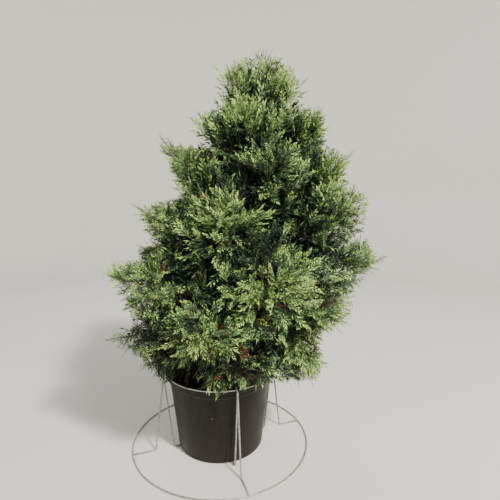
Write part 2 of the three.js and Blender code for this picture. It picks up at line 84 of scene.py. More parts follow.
def piece_from_arrays(name, corners, faces, smooth=True):
    """A mesh object from an array of corners and one of triangles or quads."""
    faces = np.asarray(faces, dtype=np.int32)
    mesh = bpy.data.meshes.new(name)
    mesh.vertices.add(len(corners))
    mesh.vertices.foreach_set("co", np.asarray(corners, dtype=np.float32).ravel())
    mesh.loops.add(faces.size)
    mesh.loops.foreach_set("vertex_index", faces.ravel())
    mesh.polygons.add(len(faces))
    starts = np.arange(0, faces.size, faces.shape[1], dtype=np.int32)
    mesh.polygons.foreach_set("loop_start", starts)
    mesh.polygons.foreach_set("use_smooth", np.full(len(faces), smooth))
    mesh.update(calc_edges=True)
    mesh.validate()
    return shown(name, mesh)


def arc(middle, radius, start, end, steps):
    """Points (r, z) of an arc, by its middle, its radius and two angles in degrees."""
    angles = np.radians(np.linspace(start, end, steps + 1))
    return [(middle[0] + radius * math.cos(a), middle[1] + radius * math.sin(a)) for a in angles]


def turned(profile, segments):
    """Corners and quads of a profile of (r, z) turned about Z. A point on the axis becomes a ring of
    no width, which is merged afterwards."""
    profile = np.array(profile)
    angles = np.linspace(0, FULL_TURN, segments, endpoint=False)
    ring = np.stack([np.cos(angles), np.sin(angles)], 1)
    rings = profile[:, None, :1] * ring[None]
    corners = np.concatenate([rings, np.repeat(profile[:, None, 1:], segments, 1)], 2).reshape(-1, 3)
    row, column = np.meshgrid(np.arange(len(profile) - 1), np.arange(segments), indexing="ij")
    after = (column + 1) % segments
    low, high = row * segments, (row + 1) * segments
    faces = np.stack([low + column, low + after, high + after, high + column], 2).reshape(-1, 4)
    return corners, faces


def merge_corners(piece, distance=1e-6):
    """Merges corners that lie in one place, and turns every face outwards."""
    work = bmesh.new()
    work.from_mesh(piece.data)
    bmesh.ops.remove_doubles(work, verts=work.verts, dist=distance)
    bmesh.ops.recalc_face_normals(work, faces=work.faces)
    work.to_mesh(piece.data)
    work.free()


def applied(piece, modifier):
    """The mesh that a modifier makes of a piece. The modifier is removed."""
    made = bpy.data.meshes.new_from_object(piece.evaluated_get(bpy.context.evaluated_depsgraph_get()))
    piece.modifiers.remove(modifier)
    return made


def cut_or_join(piece, other, operation):
    """One boolean with another piece, applied at once, after which the other piece is removed."""
    modifier = piece.modifiers.new("boolean", "BOOLEAN")
    modifier.operation = operation
    modifier.solver = "EXACT"
    modifier.object = other
    piece.data = applied(piece, modifier)
    bpy.data.objects.remove(other)


def bar_along_radius(turn, start, end, width, low, high):
    """A square bar along a radius, from one height to another."""
    corners = [(x, y, z) for x in (start, end) for y in (-width / 2, width / 2) for z in (low, high)]
    spin = [[math.cos(turn), math.sin(turn), 0], [-math.sin(turn), math.cos(turn), 0], [0, 0, 1]]
    faces = [(0, 1, 3, 2), (4, 6, 7, 5), (0, 4, 5, 1), (2, 3, 7, 6), (0, 2, 6, 4), (1, 5, 7, 3)]
    bar = piece_from_arrays("bar", np.array(corners) @ np.array(spin), faces, smooth=False)
    merge_corners(bar)
    return bar


# The outside of the wall, from the middle of the base up to the lip, then the inside down again
under_rim = RIM_RADIUS - RIM_REACH
inner_wall = under_rim - WALL
band_foot = POT_HEIGHT - BAND_DEPTH
rim_foot = POT_HEIGHT - RIM_DEPTH
pot_profile = [(0, 0), (BASE_RADIUS / 2, 0)]
pot_profile += arc((BASE_RADIUS - FOOT_ROUND, FOOT_ROUND), FOOT_ROUND, -90, -4, 7)
pot_profile += [
    (under_rim - BAND_STEP - BAND_EASE, band_foot - 2 * BAND_STEP),
    (under_rim - BAND_STEP, band_foot - BAND_STEP),
    (under_rim - 0.7 * MM, band_foot - BAND_EASE),
    (under_rim, band_foot + 1.5 * MM),
    (under_rim + MM, rim_foot - 2 * MM),
    (under_rim + 3 * MM, rim_foot),
    (RIM_RADIUS - 2 * LIP_ROUND, rim_foot),
]
pot_profile += arc((RIM_RADIUS - LIP_ROUND, rim_foot + LIP_ROUND), LIP_ROUND, -90, 0, LIP_STEPS)
pot_profile += arc((RIM_RADIUS - LIP_ROUND, POT_HEIGHT - LIP_ROUND), LIP_ROUND, 0, 90, LIP_STEPS)
pot_profile += arc((inner_wall + LIP_ROUND, POT_HEIGHT - LIP_ROUND), LIP_ROUND, 90, 180, LIP_STEPS)
pot_profile += [
    (inner_wall, band_foot),
    (inner_wall - BAND_STEP, band_foot - 2 * BAND_STEP),
    (BASE_RADIUS - WALL, FOOT_ROUND),
    (BASE_RADIUS - FOOT_ROUND - WALL, FLOOR),
    (0, FLOOR),
]
pot = piece_from_arrays("pot_tub", *turned(pot_profile, POT_SEGMENTS))
merge_corners(pot)
for turn in LEG_TURNS:
    cut_or_join(pot, bar_along_radius(
        turn, CHANNEL_FROM - WALL, BASE_RADIUS - WALL, CHANNEL_WIDTH + 2 * WALL,
        COVER_LOW, CHANNEL_HEIGHT + WALL), "UNION")
    cut_or_join(pot, bar_along_radius(
        turn, CHANNEL_FROM, BASE_RADIUS + CHANNEL_WIDTH, CHANNEL_WIDTH, -MM, CHANNEL_HEIGHT), "DIFFERENCE")
pot.data.shade_smooth()
pot.data.set_sharp_from_angle(angle=math.radians(CRISP_EDGE))


def add_node(tree, kind, inputs=(), **settings):
    """A node with its settings made, and each input given a value or linked to an output."""
    node = tree.nodes.new(kind)
    for setting, value in settings.items():
        setattr(node, setting, value)
    for socket, value in dict(inputs).items():
        if isinstance(value, bpy.types.NodeSocket):
            tree.links.new(value, node.inputs[socket])
        else:
            node.inputs[socket].default_value = value
    return node


class Finish:
    """A material with a principled shader, and the nodes that vary it over the Object coordinates."""

    def __init__(self, name, colour, roughness, metallic=0.0, specular=0.5):
        self.material = bpy.data.materials.new(name)
        self.material.use_nodes = True
        self.material.diffuse_color = (*colour, 1)
        self.tree = self.material.node_tree
        self.shader = self.tree.nodes["Principled BSDF"]
        self.shader.inputs["Base Color"].default_value = (*colour, 1)
        self.shader.inputs["Roughness"].default_value = roughness
        self.shader.inputs["Metallic"].default_value = metallic
        self.shader.inputs["Specular IOR Level"].default_value = specular
        self.place = add_node(self.tree, "ShaderNodeTexCoord").outputs["Object"]

    def stretched(self, scale):
        """The Object coordinates, scaled along each axis."""
        inputs = {"Vector": self.place, "Scale": scale}
        return add_node(self.tree, "ShaderNodeMapping", inputs).outputs["Vector"]

    def noise(self, scale, detail=3.0, stretch=(1, 1, 1), roughness=0.5):
        """A noise of that many waves a metre."""
        inputs = {
            "Vector": self.stretched(stretch), "Scale": scale, "Detail": detail, "Roughness": roughness}
        return add_node(self.tree, "ShaderNodeTexNoise", inputs).outputs["Fac"]

    def ramp(self, factor, stops):
        """A colour ramp, or one of greys, through (place, colour or grey) stops."""
        ramp = add_node(self.tree, "ShaderNodeValToRGB", {"Fac": factor})
        while len(ramp.color_ramp.elements) < len(stops):
            ramp.color_ramp.elements.new(0.5)
        for element, (place, value) in zip(ramp.color_ramp.elements, stops):
            element.position = place
            element.color = (*value, 1) if isinstance(value, tuple) else (value, value, value, 1)
        return ramp.outputs["Color"]

    def mixed(self, factor, first, second):
        """Two colours mixed by a factor."""
        first, second = ((*value, 1) if isinstance(value, tuple) else value for value in (first, second))
        inputs = {"Factor": factor, "A": first, "B": second}
        return add_node(self.tree, "ShaderNodeMix", inputs, data_type="RGBA").outputs["Result"]

    def spread(self, value, low, high):
        """A factor that goes from 0 to 1 as a value goes from low to high."""
        inputs = {"Value": value, "From Min": low, "From Max": high}
        return add_node(self.tree, "ShaderNodeMapRange", inputs).outputs["Result"]

    def height(self, low, high):
        """A factor that goes from 0 to 1 between two heights."""
        split = add_node(self.tree, "ShaderNodeSeparateXYZ", {"Vector": self.place})
        return self.spread(split.outputs["Z"], low, high)

    def distance(self, low, high, place=(0, 0, 0), axes=(1, 1, 0)):
        """A factor that goes from 0 to 1 between two distances from a place, along the axes asked for."""
        inputs = {0: self.stretched(axes), 1: place}
        between = add_node(self.tree, "ShaderNodeVectorMath", inputs, operation="DISTANCE")
        return self.spread(between.outputs["Value"], low, high)

    def times(self, first, second):
        """The product of two factors."""
        inputs = {0: first, 1: second}
        return add_node(self.tree, "ShaderNodeMath", inputs, operation="MULTIPLY").outputs["Value"]

    def colour(self, output):
        self.tree.links.new(output, self.shader.inputs["Base Color"])

    def roughness(self, factor, low, high):
        """Roughness from low to high over a factor."""
        self.tree.links.new(self.ramp(factor, [(0.3, low), (0.7, high)]), self.shader.inputs["Roughness"])

    def relief(self, factor, depth, strength=1.0):
        """A bump of that depth in metres."""
        inputs = {"Height": factor, "Distance": depth, "Strength": strength}
        bump = add_node(self.tree, "ShaderNodeBump", inputs)
        self.tree.links.new(bump.outputs["Normal"], self.shader.inputs["Normal"])


def wear(piece, finish, nodes=()):
    """Gives a finished piece its material and body, and hides the nodes that it stands for."""
    piece.data.materials.clear()
    piece.data.materials.append(finish.material)
    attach(piece, "root")
    if nodes:
        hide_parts(*nodes)


# Black polyethylene with the fine upright draw lines of its mould and a small pale mark where the
# mould was filled, a film of dust low down that also paints the warm reflection of the ground, and a
# pale painted highlight along the top of the lip, broken in places
POT_BLACK = (0.006, 0.005, 0.004)
POT_WORN = (0.013, 0.011, 0.008)
POT_DUST_AND_REFLECTION = (0.044, 0.034, 0.022)
POT_LIP_HIGHLIGHT = (0.74, 0.73, 0.71)
POT_MARKED = (0.11, 0.105, 0.10)
DUST_AND_REFLECTION_TOP = 160 * MM
MARK_PLACE = (-0.0184, -0.216, 0.219)
MARK_RADIUS = 4 * MM
MARK_MIDDLE = 2.5 * MM
pot_finish = Finish("black_tub_plastic", POT_BLACK, 0.4, specular=0.17)
draw_lines = pot_finish.noise(1, 4, (150, 150, 1.6), 0.6)
plastic = pot_finish.ramp(draw_lines, [(0.35, POT_BLACK), (0.7, POT_WORN)])
# Dust low down, which also paints the warm reflection of the ground on the foot of the wall
dust_and_reflection = pot_finish.ramp(pot_finish.height(DUST_AND_REFLECTION_TOP, 0.0), [(0.0, 0.0), (1.0, 0.42)])
dust_and_reflection_tone = pot_finish.mixed(pot_finish.noise(160, 6, roughness=0.7), POT_BLACK, POT_DUST_AND_REFLECTION)
# A pale painted highlight along the top of the lip, broken up by noise
lip_highlight_mask = pot_finish.times(
    pot_finish.distance(RIM_RADIUS - 2.2 * LIP_ROUND, RIM_RADIUS - 0.6 * LIP_ROUND),
    pot_finish.height(POT_HEIGHT - LIP_ROUND, POT_HEIGHT - 0.3 * LIP_ROUND))
highlight_breaks = pot_finish.ramp(pot_finish.noise(14, 4, roughness=0.7), [(0.36, 0.2), (0.52, 1.0)])
mark = pot_finish.distance(MARK_RADIUS, MARK_MIDDLE, MARK_PLACE, (1, 1, 1))
marked = pot_finish.mixed(mark, pot_finish.mixed(dust_and_reflection, plastic, dust_and_reflection_tone), POT_MARKED)
pot_finish.colour(pot_finish.mixed(pot_finish.times(lip_highlight_mask, highlight_breaks), marked, POT_LIP_HIGHLIGHT))
pot_finish.roughness(pot_finish.noise(9, 5), 0.33, 0.5)
pot_finish.relief(draw_lines, 0.4 * MM, 0.6)
wear(pot, pot_finish, ["pot"])


# Wire stand
# The stand is bent from 7 mm galvanised rod: a ring that lies on the ground and four legs welded to
# it. Each leg climbs to the rim and hooks over it, and a second rod comes down beside the wall and
# turns in under the pot. The bends are round, and a weld bead shows where rod meets rod.
ROD_RADIUS = 3.5 * MM
ROD_SIDES = 12
ROD_BEND = 9 * MM
ROD_GAP = 0.3 * MM
BEND_SHARE = 0.42
BEND_STEPS = 5
RING_RADIUS = 400 * MM
RING_STEPS = 96
OUTER_CORNER = 300 * MM
INNER_CORNER = 219 * MM
INNER_FOOT_END = 152 * MM
HOOK_DROP = 24 * MM
BEAD_RADIUS = 5.6 * MM
BEAD_RINGS = 6
BEAD_SIDES = 10
RING_BEAD_RISE = 0.6
RIM_BEAD_RISE = 1.6


def rounded(points, radius):
    """A route through points, with its corners rounded over a radius or as far as there is room."""
    route = [points[0]]
    for before, corner, after in zip(points, points[1:], points[2:]):
        ends = []
        for way in (before - corner, after - corner):
            length = np.linalg.norm(way)
            ends.append(corner + way / length * min(radius, BEND_SHARE * length))
        for t in np.linspace(0, 1, BEND_STEPS + 1):
            route.append((1 - t) ** 2 * ends[0] + 2 * t * (1 - t) * corner + t ** 2 * ends[1])
    return np.array(route + [points[-1]])


def frames_along(points, closed=False):
    """The heading at each point of a route, and two directions square to it, without a twist."""
    if closed:
        heading = np.roll(points, -1, 0) - np.roll(points, 1, 0)
    else:
        heading = np.gradient(points, axis=0)
    heading /= np.linalg.norm(heading, axis=1, keepdims=True)
    side = np.zeros_like(points)
    steep = abs(heading[0][2]) > 0.8
    guide = np.array([0.0, 1, 0] if steep else [0.0, 0, 1])
    for i, way in enumerate(heading):
        guide = guide - guide.dot(way) * way
        guide /= np.linalg.norm(guide)
        side[i] = guide
    return heading, side, np.cross(heading, side)


def swept(points, radii, sides, closed=False):
    """Corners and triangles of a round rod or limb along a route."""
    count = len(points)
    radii = np.broadcast_to(radii, (count,))
    _, side, across = frames_along(points, closed)
    angles = FULL_TURN * (np.arange(sides) + 0.5) / sides
    out = side[:, None] * np.cos(angles)[None, :, None] + across[:, None] * np.sin(angles)[None, :, None]
    corners = (points[:, None] + radii[:, None, None] * out).reshape(-1, 3)
    row, column = np.meshgrid(np.arange(count if closed else count - 1), np.arange(sides), indexing="ij")
    after, above = (column + 1) % sides, (row + 1) % count
    a, b = row * sides + column, row * sides + after
    c, d = above * sides + after, above * sides + column
    faces = np.concatenate([np.stack([a, b, c], 2), np.stack([a, c, d], 2)]).reshape(-1, 3)
    if closed:
        return corners, faces
    first, last = count * sides, count * sides + 1
    rim = np.arange(sides)
    turn = (rim + 1) % sides
    foot = np.stack([np.full(sides, first), turn, rim], 1)
    top = np.stack([np.full(sides, last), (count - 1) * sides + rim, (count - 1) * sides + turn], 1)
    return np.concatenate([corners, points[[0, -1]]]), np.concatenate([faces, foot, top])


def joined(parts):
    """The corners and faces of several meshes as one."""
    corners, faces, start = [], [], 0
    for part_corners, part_faces in parts:
        corners.append(part_corners)
        faces.append(np.asarray(part_faces) + start)
        start += len(part_corners)
    return np.concatenate(corners), np.concatenate(faces)


def bead(place, radius, rise):
    """A weld bead: a small lump of run metal, its height so many times its width."""
    angles = np.linspace(-math.pi / 2, math.pi / 2, BEAD_RINGS)
    points = place + np.outer(np.sin(angles), [0, 0, radius * rise])
    return swept(points, np.maximum(radius * np.cos(angles), 1e-5), BEAD_SIDES)


def at_turn(turn, out, up):
    """The point at a turn about the pot's axis, so far out from it and so high."""
    return np.array([out * math.cos(turn), out * math.sin(turn), up])


rim_top = POT_HEIGHT + ROD_RADIUS + ROD_GAP
beside = RIM_RADIUS + ROD_RADIUS + 2 * MM
hook_inside = inner_wall - ROD_RADIUS - 3 * MM
top_weld = (beside + ROD_RADIUS, rim_foot)
outer_route = [
    (RING_RADIUS, ROD_RADIUS),
    (OUTER_CORNER, ROD_RADIUS),
    top_weld,
    (beside - MM, rim_top),
    (hook_inside, rim_top),
    (hook_inside - MM, POT_HEIGHT - HOOK_DROP),
]
inner_route = [
    (INNER_FOOT_END, ROD_RADIUS),
    (INNER_CORNER, ROD_RADIUS),
    (beside + MM, POT_HEIGHT - 2 * RIM_DEPTH),
    top_weld,
]
rods = []
for turn in LEG_TURNS:
    for route in (outer_route, inner_route):
        points = [at_turn(turn, *place) for place in route]
        rods.append(swept(rounded(points, ROD_BEND), ROD_RADIUS, ROD_SIDES))
    rods.append(bead(at_turn(turn, RING_RADIUS, ROD_RADIUS), BEAD_RADIUS, RING_BEAD_RISE))
    rods.append(bead(at_turn(turn, *top_weld), 0.9 * BEAD_RADIUS, RIM_BEAD_RISE))
ring_turns = np.linspace(0, FULL_TURN, RING_STEPS, endpoint=False)
ring = np.array([at_turn(turn, RING_RADIUS, ROD_RADIUS) for turn in ring_turns])
rods.append(swept(ring, ROD_RADIUS, ROD_SIDES, closed=True))
stand = piece_from_arrays("wire_stand", *joined(rods))
merge_corners(stand, 1e-7)

# Weathered zinc: dull blue-grey with a darker and slightly brown mottling
ZINC_TONES = [(0.3, (0.15, 0.14, 0.13)), (0.5, (0.33, 0.335, 0.34)), (0.72, (0.5, 0.51, 0.52))]
zinc = Finish("galvanised_wire", (0.33, 0.34, 0.345), 0.45, metallic=0.75)
mottle = zinc.noise(95, 5, roughness=0.65)
zinc.colour(zinc.ramp(mottle, ZINC_TONES))
zinc.roughness(zinc.noise(240, 3), 0.34, 0.6)
zinc.relief(mottle, 0.3 * MM, 0.5)
wear(stand, zinc, [f"stand_{name}" for name in ("right", "back", "left", "front")])


# Potting soil
# The pot is filled with a dark bark mix that has sunk about 50 mm under the rim and lies a little
# higher round the trunk. Chips of bark lie on it, with rusty sprigs that the tree has dropped.
SOIL_LOW, SOIL_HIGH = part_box("soil")
SOIL_LEVEL = 305 * MM
SOIL_DIP = 3 * MM
SOIL_FOOT = 12 * MM
SOIL_SIDE = 0.985
SOIL_SIDE_DROP = 30 * MM
LUMPS_OUT_TO = 0.97
SOIL_RINGS = 46
SOIL_SEGMENTS = 96
SOIL_SEED = 4
SOIL_TONES = [(0.3, (0.010, 0.007, 0.005)), (0.55, (0.040, 0.026, 0.017)), (0.75, (0.095, 0.062, 0.038))]
GRAIN_HEIGHT = 2.2 * MM

soil_radius = SOIL_HIGH.x
dome = SOIL_HIGH.z - SOIL_LEVEL + SOIL_DIP
shares = np.linspace(0, 1, SOIL_RINGS)
soil_profile = [(soil_radius * share, SOIL_HIGH.z - dome * share ** 2) for share in shares]
soil_profile += [
    (soil_radius * SOIL_SIDE, SOIL_LEVEL - SOIL_SIDE_DROP),
    (BASE_RADIUS - SOIL_FOOT, SOIL_LOW.z + SOIL_FOOT),
    (0, SOIL_LOW.z + SOIL_FOOT),
]
soil_corners, soil_faces = turned(soil_profile[::-1], SOIL_SEGMENTS)
on_top = np.hypot(soil_corners[:, 0], soil_corners[:, 1]) < soil_radius * LUMPS_OUT_TO
on_top &= soil_corners[:, 2] > SOIL_LEVEL - 2 * SOIL_DIP
lumps = np.random.default_rng(SOIL_SEED).normal(0, GRAIN_HEIGHT / 2, len(soil_corners)) - GRAIN_HEIGHT
soil_corners[:, 2] += np.where(on_top, np.clip(lumps, -2 * GRAIN_HEIGHT, 0), 0)
soil = piece_from_arrays("potting_soil", soil_corners, soil_faces)
merge_corners(soil, 1e-4)
soil_finish = Finish("bark_mix", (0.03, 0.02, 0.014), 0.95)
crumbs = soil_finish.noise(170, 8, roughness=0.7)
soil_finish.colour(soil_finish.ramp(crumbs, SOIL_TONES))
soil_finish.roughness(crumbs, 0.85, 1.0)
soil_finish.relief(crumbs, 4 * MM)
wear(soil, soil_finish, ["soil"])


def strewn(name, ground, grain, finish, seed, lift, sizes):
    """A grain strewn over the top of a ground by geometry nodes, as one plain mesh. The sizes are the
    Density, the Smallest and Largest scale, and how far from the axis the Widest grain lies."""
    grain.data.materials.append(finish.material)
    tree = bpy.data.node_groups.new(name + "_strewing", "GeometryNodeTree")
    ask = tree.interface.new_socket
    ask("Geometry", in_out="INPUT", socket_type="NodeSocketGeometry")
    for size in sizes:
        ask(size, in_out="INPUT", socket_type="NodeSocketFloat")
    ask("Geometry", in_out="OUTPUT", socket_type="NodeSocketGeometry")

    def node(kind, inputs=(), **settings):
        return add_node(tree, kind, inputs, **settings).outputs

    given = node("NodeGroupInput")
    normal = node("GeometryNodeInputNormal")[0]
    upright = node("ShaderNodeSeparateXYZ", {0: normal})["Z"]
    faces_up = node(
        "FunctionNodeCompare", {"A": upright, "B": 0.5}, data_type="FLOAT", operation="GREATER_THAN")
    position = node("GeometryNodeInputPosition")[0]
    flat_place = node("ShaderNodeVectorMath", {0: position, 1: (1, 1, 0)}, operation="MULTIPLY")["Vector"]
    from_axis = node("ShaderNodeVectorMath", {0: flat_place}, operation="LENGTH")["Value"]
    within = {"A": from_axis, "B": given["Widest"]}
    near_axis = node("FunctionNodeCompare", within, data_type="FLOAT", operation="LESS_THAN")
    both = node("FunctionNodeBooleanMath", {0: faces_up["Result"], 1: near_axis["Result"]})[0]
    places = node("GeometryNodeDistributePointsOnFaces", {
        "Mesh": given["Geometry"], "Density": given["Density"], "Selection": both, "Seed": seed})["Points"]
    shape = node("GeometryNodeObjectInfo", {"Object": grain})["Geometry"]
    turns = {0: (-0.5, -0.5, 0), 1: (0.5, 0.5, FULL_TURN), "Seed": seed + 1}
    spin = node("FunctionNodeRandomValue", turns, data_type="FLOAT_VECTOR")[0]
    scales = {2: given["Smallest"], 3: given["Largest"], "Seed": seed + 2}
    scale = node("FunctionNodeRandomValue", scales, data_type="FLOAT")[1]
    placed = node("GeometryNodeInstanceOnPoints", {
        "Points": places, "Instance": shape, "Rotation": spin, "Scale": scale})["Instances"]
    lifted = {"Instances": placed, "Translation": (0, 0, lift)}
    raised = node("GeometryNodeTranslateInstances", lifted)["Instances"]
    real = node("GeometryNodeRealizeInstances", {"Geometry": raised})["Geometry"]
    painted = node("GeometryNodeSetMaterial", {"Geometry": real, "Material": finish.material})["Geometry"]
    node("NodeGroupOutput", {"Geometry": painted})
    modifier = ground.modifiers.new(name, "NODES")
    modifier.node_group = tree
    for socket in tree.interface.items_tree:
        if socket.in_out == "INPUT" and socket.name in sizes:
            modifier[socket.identifier] = float(sizes[socket.name])
    piece = shown(name, applied(ground, modifier))
    bpy.data.objects.remove(grain)
    wear(piece, finish)


# Each chip is a split flake of bark, thin and uneven
CHIP_SIZE = 9 * MM
CHIP_TONES = [(0.3, (0.022, 0.014, 0.010)), (0.52, (0.075, 0.042, 0.024)), (0.72, (0.17, 0.10, 0.055))]
FLAKE = [
    (-1, -0.5, 0), (-0.2, -0.62, 0.05), (1, -0.3, 0), (0.8, 0.45, 0.04), (-0.1, 0.6, 0), (-0.9, 0.4, 0.03)]
FLAKE_TAPER = [0.85, 0.8, 1]
FLAKE_THICKNESS = [0, 0, 0.32]
flake_top = np.array(FLAKE) * FLAKE_TAPER + FLAKE_THICKNESS
flake_corners = np.concatenate([FLAKE, flake_top]) * CHIP_SIZE / 2
flake_faces, sides = [], len(FLAKE)
for i in range(sides):
    after = (i + 1) % sides
    flake_faces += [(i, after, sides + after), (i, sides + after, sides + i)]
flake_faces += [(sides, sides + i, sides + i + 1) for i in range(1, sides - 1)]
flake_faces += [(0, i + 1, i) for i in range(1, sides - 1)]
chip = piece_from_arrays("chip", flake_corners, flake_faces, smooth=False)
merge_corners(chip)
chip_finish = Finish("bark_chip", (0.06, 0.035, 0.02), 0.85)
chip_finish.colour(chip_finish.ramp(chip_finish.noise(60, 4, roughness=0.6), CHIP_TONES))
chip_finish.roughness(chip_finish.noise(200, 3), 0.7, 0.95)
chip_finish.relief(chip_finish.noise(320, 4), 0.6 * MM)
strewn("bark_chips", soil, chip, chip_finish, SOIL_SEED, 0.2 * MM, {
    "Density": 5200, "Smallest": 0.45, "Largest": 1.5, "Widest": soil_radius - CHIP_SIZE})

# Each fallen sprig is a thin stalk with dry blades to both hands
FALLEN_SPRIG_SIZE = 26 * MM
FALLEN_BLADES = [(-1, 0.2), (1, 0.3), (-1, 0.45), (1, 0.55), (-1, 0.7), (1, 0.78)]
fallen_corners, fallen_faces = [(0, -0.03, 0), (1, 0, 0.1), (0, 0.03, 0)], [(0, 1, 2)]
for hand, x in FALLEN_BLADES:
    base = len(fallen_corners)
    end = (x + 0.3, hand * 0.3 * (1.1 - x), 0.12)
    fallen_corners += [(x, 0, 0.1 * x), (x + 0.12, hand * 0.02, 0.1 * x), end]
    fallen_faces.append((base, base + 1, base + 2) if hand > 0 else (base, base + 2, base + 1))
fallen_corners = np.array(fallen_corners) * FALLEN_SPRIG_SIZE
fallen = piece_from_arrays("fallen", fallen_corners, fallen_faces, smooth=False)
fallen_finish = Finish("dry_sprig", (0.16, 0.05, 0.028), 0.8)
fallen_finish.colour(fallen_finish.ramp(
    fallen_finish.noise(40, 3), [(0.35, (0.10, 0.028, 0.018)), (0.65, (0.28, 0.10, 0.05))]))
fallen_finish.relief(fallen_finish.noise(600, 2), 0.4 * MM, 0.5)
strewn("fallen_sprigs", soil, fallen, fallen_finish, SOIL_SEED + 7, 4 * MM, {
    "Density": 900, "Smallest": 0.6, "Largest": 1.2, "Widest": soil_radius - 1.6 * FALLEN_SPRIG_SIZE})


# Limbs
# The trunk leans to the right from its foot and straightens as it climbs, tapering from a flared
# root collar to a pencil-thin leader. Seven tiers of branches leave it. On the three lowest tiers
# each is a bare bough as far as its foliage. The young bark is red-brown and splits in long strips.
UP = np.array([0.0, 0, 1])
GOLDEN_ANGLE = math.pi * (3 - math.sqrt(5))
TRUNK_FOOT_X = 22 * MM
TRUNK_LEAN = 181 * MM
TRUNK_BEND = 2.2
TRUNK_BOW = 14 * MM
TRUNK_RADIUS = 17 * MM
TRUNK_TIP_RADIUS = 4.5 * MM
TRUNK_FULLNESS = 0.9
TRUNK_TIP = 1340 * MM
FLARE_RADIUS = 13 * MM
FLARE_HEIGHT = 26 * MM
TREE_TOP = 1726 * MM
LEADER_TIP_X = 203 * MM
BOUGH_RADIUS = 8 * MM
BOUGH_STEPS = 12
STEM_RADIUS = 4.5 * MM
STEM_TIP_RADIUS = 1.5 * MM
PLAN_SQUARENESS = 0.7
TIP_WANDER = 26
AXIS_STEPS = 9
LEADER_SEED = 99

# Each tier: its branches, the turn of the first, the height of the lowest root and the rise from one
# root to the next, the (x, z) of its furthest tips to the left and right, its half-depth, the lift of
# its front and back tips, the arch of a branch, the share of it that is bare bough, its longest
# twigs, and the share of their length that those droop. Lengths are in millimetres.
Tier = namedtuple("Tier", "name count first_turn root rise left right depth lift arch bare twig droop")
TIERS = [
    Tier("skirt", 5, 56, 358, 9, (-312, 418), (455, 424), 355, 45, 30, 0.22, 215, 0.24),
    Tier("low", 6, 24, 450, 12, (-436, 525), (550, 625), 480, 60, 34, 0.24, 205, 0.2),
    Tier("middle", 6, 38, 600, 12, (-440, 870), (655, 905), 520, -20, 4, 0.2, 220, 0.14),
    Tier("high", 6, 22, 780, 13, (-322, 1056), (614, 1110), 420, 40, -22, 0, 215, 0.08),
    Tier("shoulder", 6, 34, 965, 13, (-240, 1330), (542, 1268), 345, 0, -30, 0, 215, 0.02),
    Tier("top", 4, -9, 1125, 15, (-91, 1484), (428, 1476), 235, 0, -26, 0, 190, -0.04),
    Tier("spire", 2, 14, 1245, 15, (40, 1650), (330, 1630), 110, 0, -24, 0, 170, -0.06),
]


def chance(seed):
    """A fixed pseudo-random number from 0 to 1 for a seed, or an array of them."""
    wave = np.sin(seed * 12.9898) * 43758.5453
    return wave - np.floor(wave)


def trunk_at(height):
    """The middle of the trunk at a height, or at an array of them."""
    climb = np.clip((height - SOIL_LEVEL) / (TREE_TOP - SOIL_LEVEL), 0, 1)
    x = TRUNK_FOOT_X + TRUNK_LEAN * (1 - (1 - climb) ** TRUNK_BEND)
    return np.stack([x, TRUNK_BOW * np.sin(math.pi * climb), np.asarray(height, dtype=float)], -1)


def trunk_radius(height):
    climb = np.clip((height - SOIL_LEVEL) / (TRUNK_TIP - SOIL_LEVEL), 0, 1)
    stem = TRUNK_RADIUS + (TRUNK_TIP_RADIUS - TRUNK_RADIUS) * climb ** TRUNK_FULLNESS
    return stem + FLARE_RADIUS * np.exp(-(height - SOIL_LEVEL) / FLARE_HEIGHT)


def tier_tip(tier, azimuth, seed=0):
    """Where a tier's branch ends, for an azimuth in radians from +X. With a seed it strays a little."""
    parts = (math.cos(azimuth), math.sin(azimuth))
    across, along = (math.copysign(abs(part) ** PLAN_SQUARENESS, part) for part in parts)
    wander = TIP_WANDER * abs(along) if seed else 0
    (left, left_height), (right, right_height) = tier.left, tier.right
    height = left_height + (right_height - left_height) * (1 + across) / 2
    return MM * np.array([
        (left + right) / 2 + (right - left) / 2 * across,
        tier.depth * along + wander * (2 * chance(seed) - 1),
        height + tier.lift * abs(along) + wander * (2 * chance(seed + 0.5) - 1),
    ])


def bow_points(root, belly, tip, start, end, steps):
    """Points on a branch's bow from one share of it to another."""
    t = np.linspace(start, end, steps + 1)[:, None]
    return (1 - t) ** 2 * root + 2 * t * (1 - t) * belly + t ** 2 * tip


branches = []
for level, tier in enumerate(TIERS):
    for i in range(tier.count):
        seed = 10 * level + i + 1
        order = (2 * i) % tier.count + (1 if 2 * i >= tier.count and tier.count % 2 == 0 else 0)
        root = trunk_at(MM * (tier.root + tier.rise * order))
        tip = tier_tip(tier, math.radians(tier.first_turn) + FULL_TURN * i / tier.count, seed)
        belly = (root + tip) / 2 + UP * 2 * tier.arch * MM
        branches.append({
            "name": f"{tier.name}_{i + 1}",
            "seed": seed,
            "twig": tier.twig * MM,
            "droop": tier.droop,
            "level": level,
            "bough": bow_points(root, belly, tip, 0, tier.bare, BOUGH_STEPS) if tier.bare else None,
            "axis": bow_points(root, belly, tip, tier.bare, 1, AXIS_STEPS),
        })
leader_tip = np.array([LEADER_TIP_X, 0, TREE_TOP])
branches.append({
    "name": "leader", "seed": LEADER_SEED, "twig": 160 * MM, "droop": -0.08, "level": len(TIERS),
    "bough": None, "axis": np.linspace(trunk_at(TRUNK_TIP), leader_tip, AXIS_STEPS + 1),
})
boughed = [branch for branch in branches if branch["bough"] is not None]

# The bark's strips stand out from a limb a little thinner than the solid one, in a coarse set that
# wavers along the limb, a finer set between, and a roughness dealt by chance
BARK_INSET = 0.97
WAVER = 0.35
WAVER_PACE = 0.31
FINE_STRIPS = 0.6
FINE_PACE = 0.22
SKIN_ROUGHNESS = 0.8
BARK_TONES = [(0.3, (0.055, 0.030, 0.019)), (0.52, (0.16, 0.085, 0.05)), (0.74, (0.30, 0.18, 0.11))]


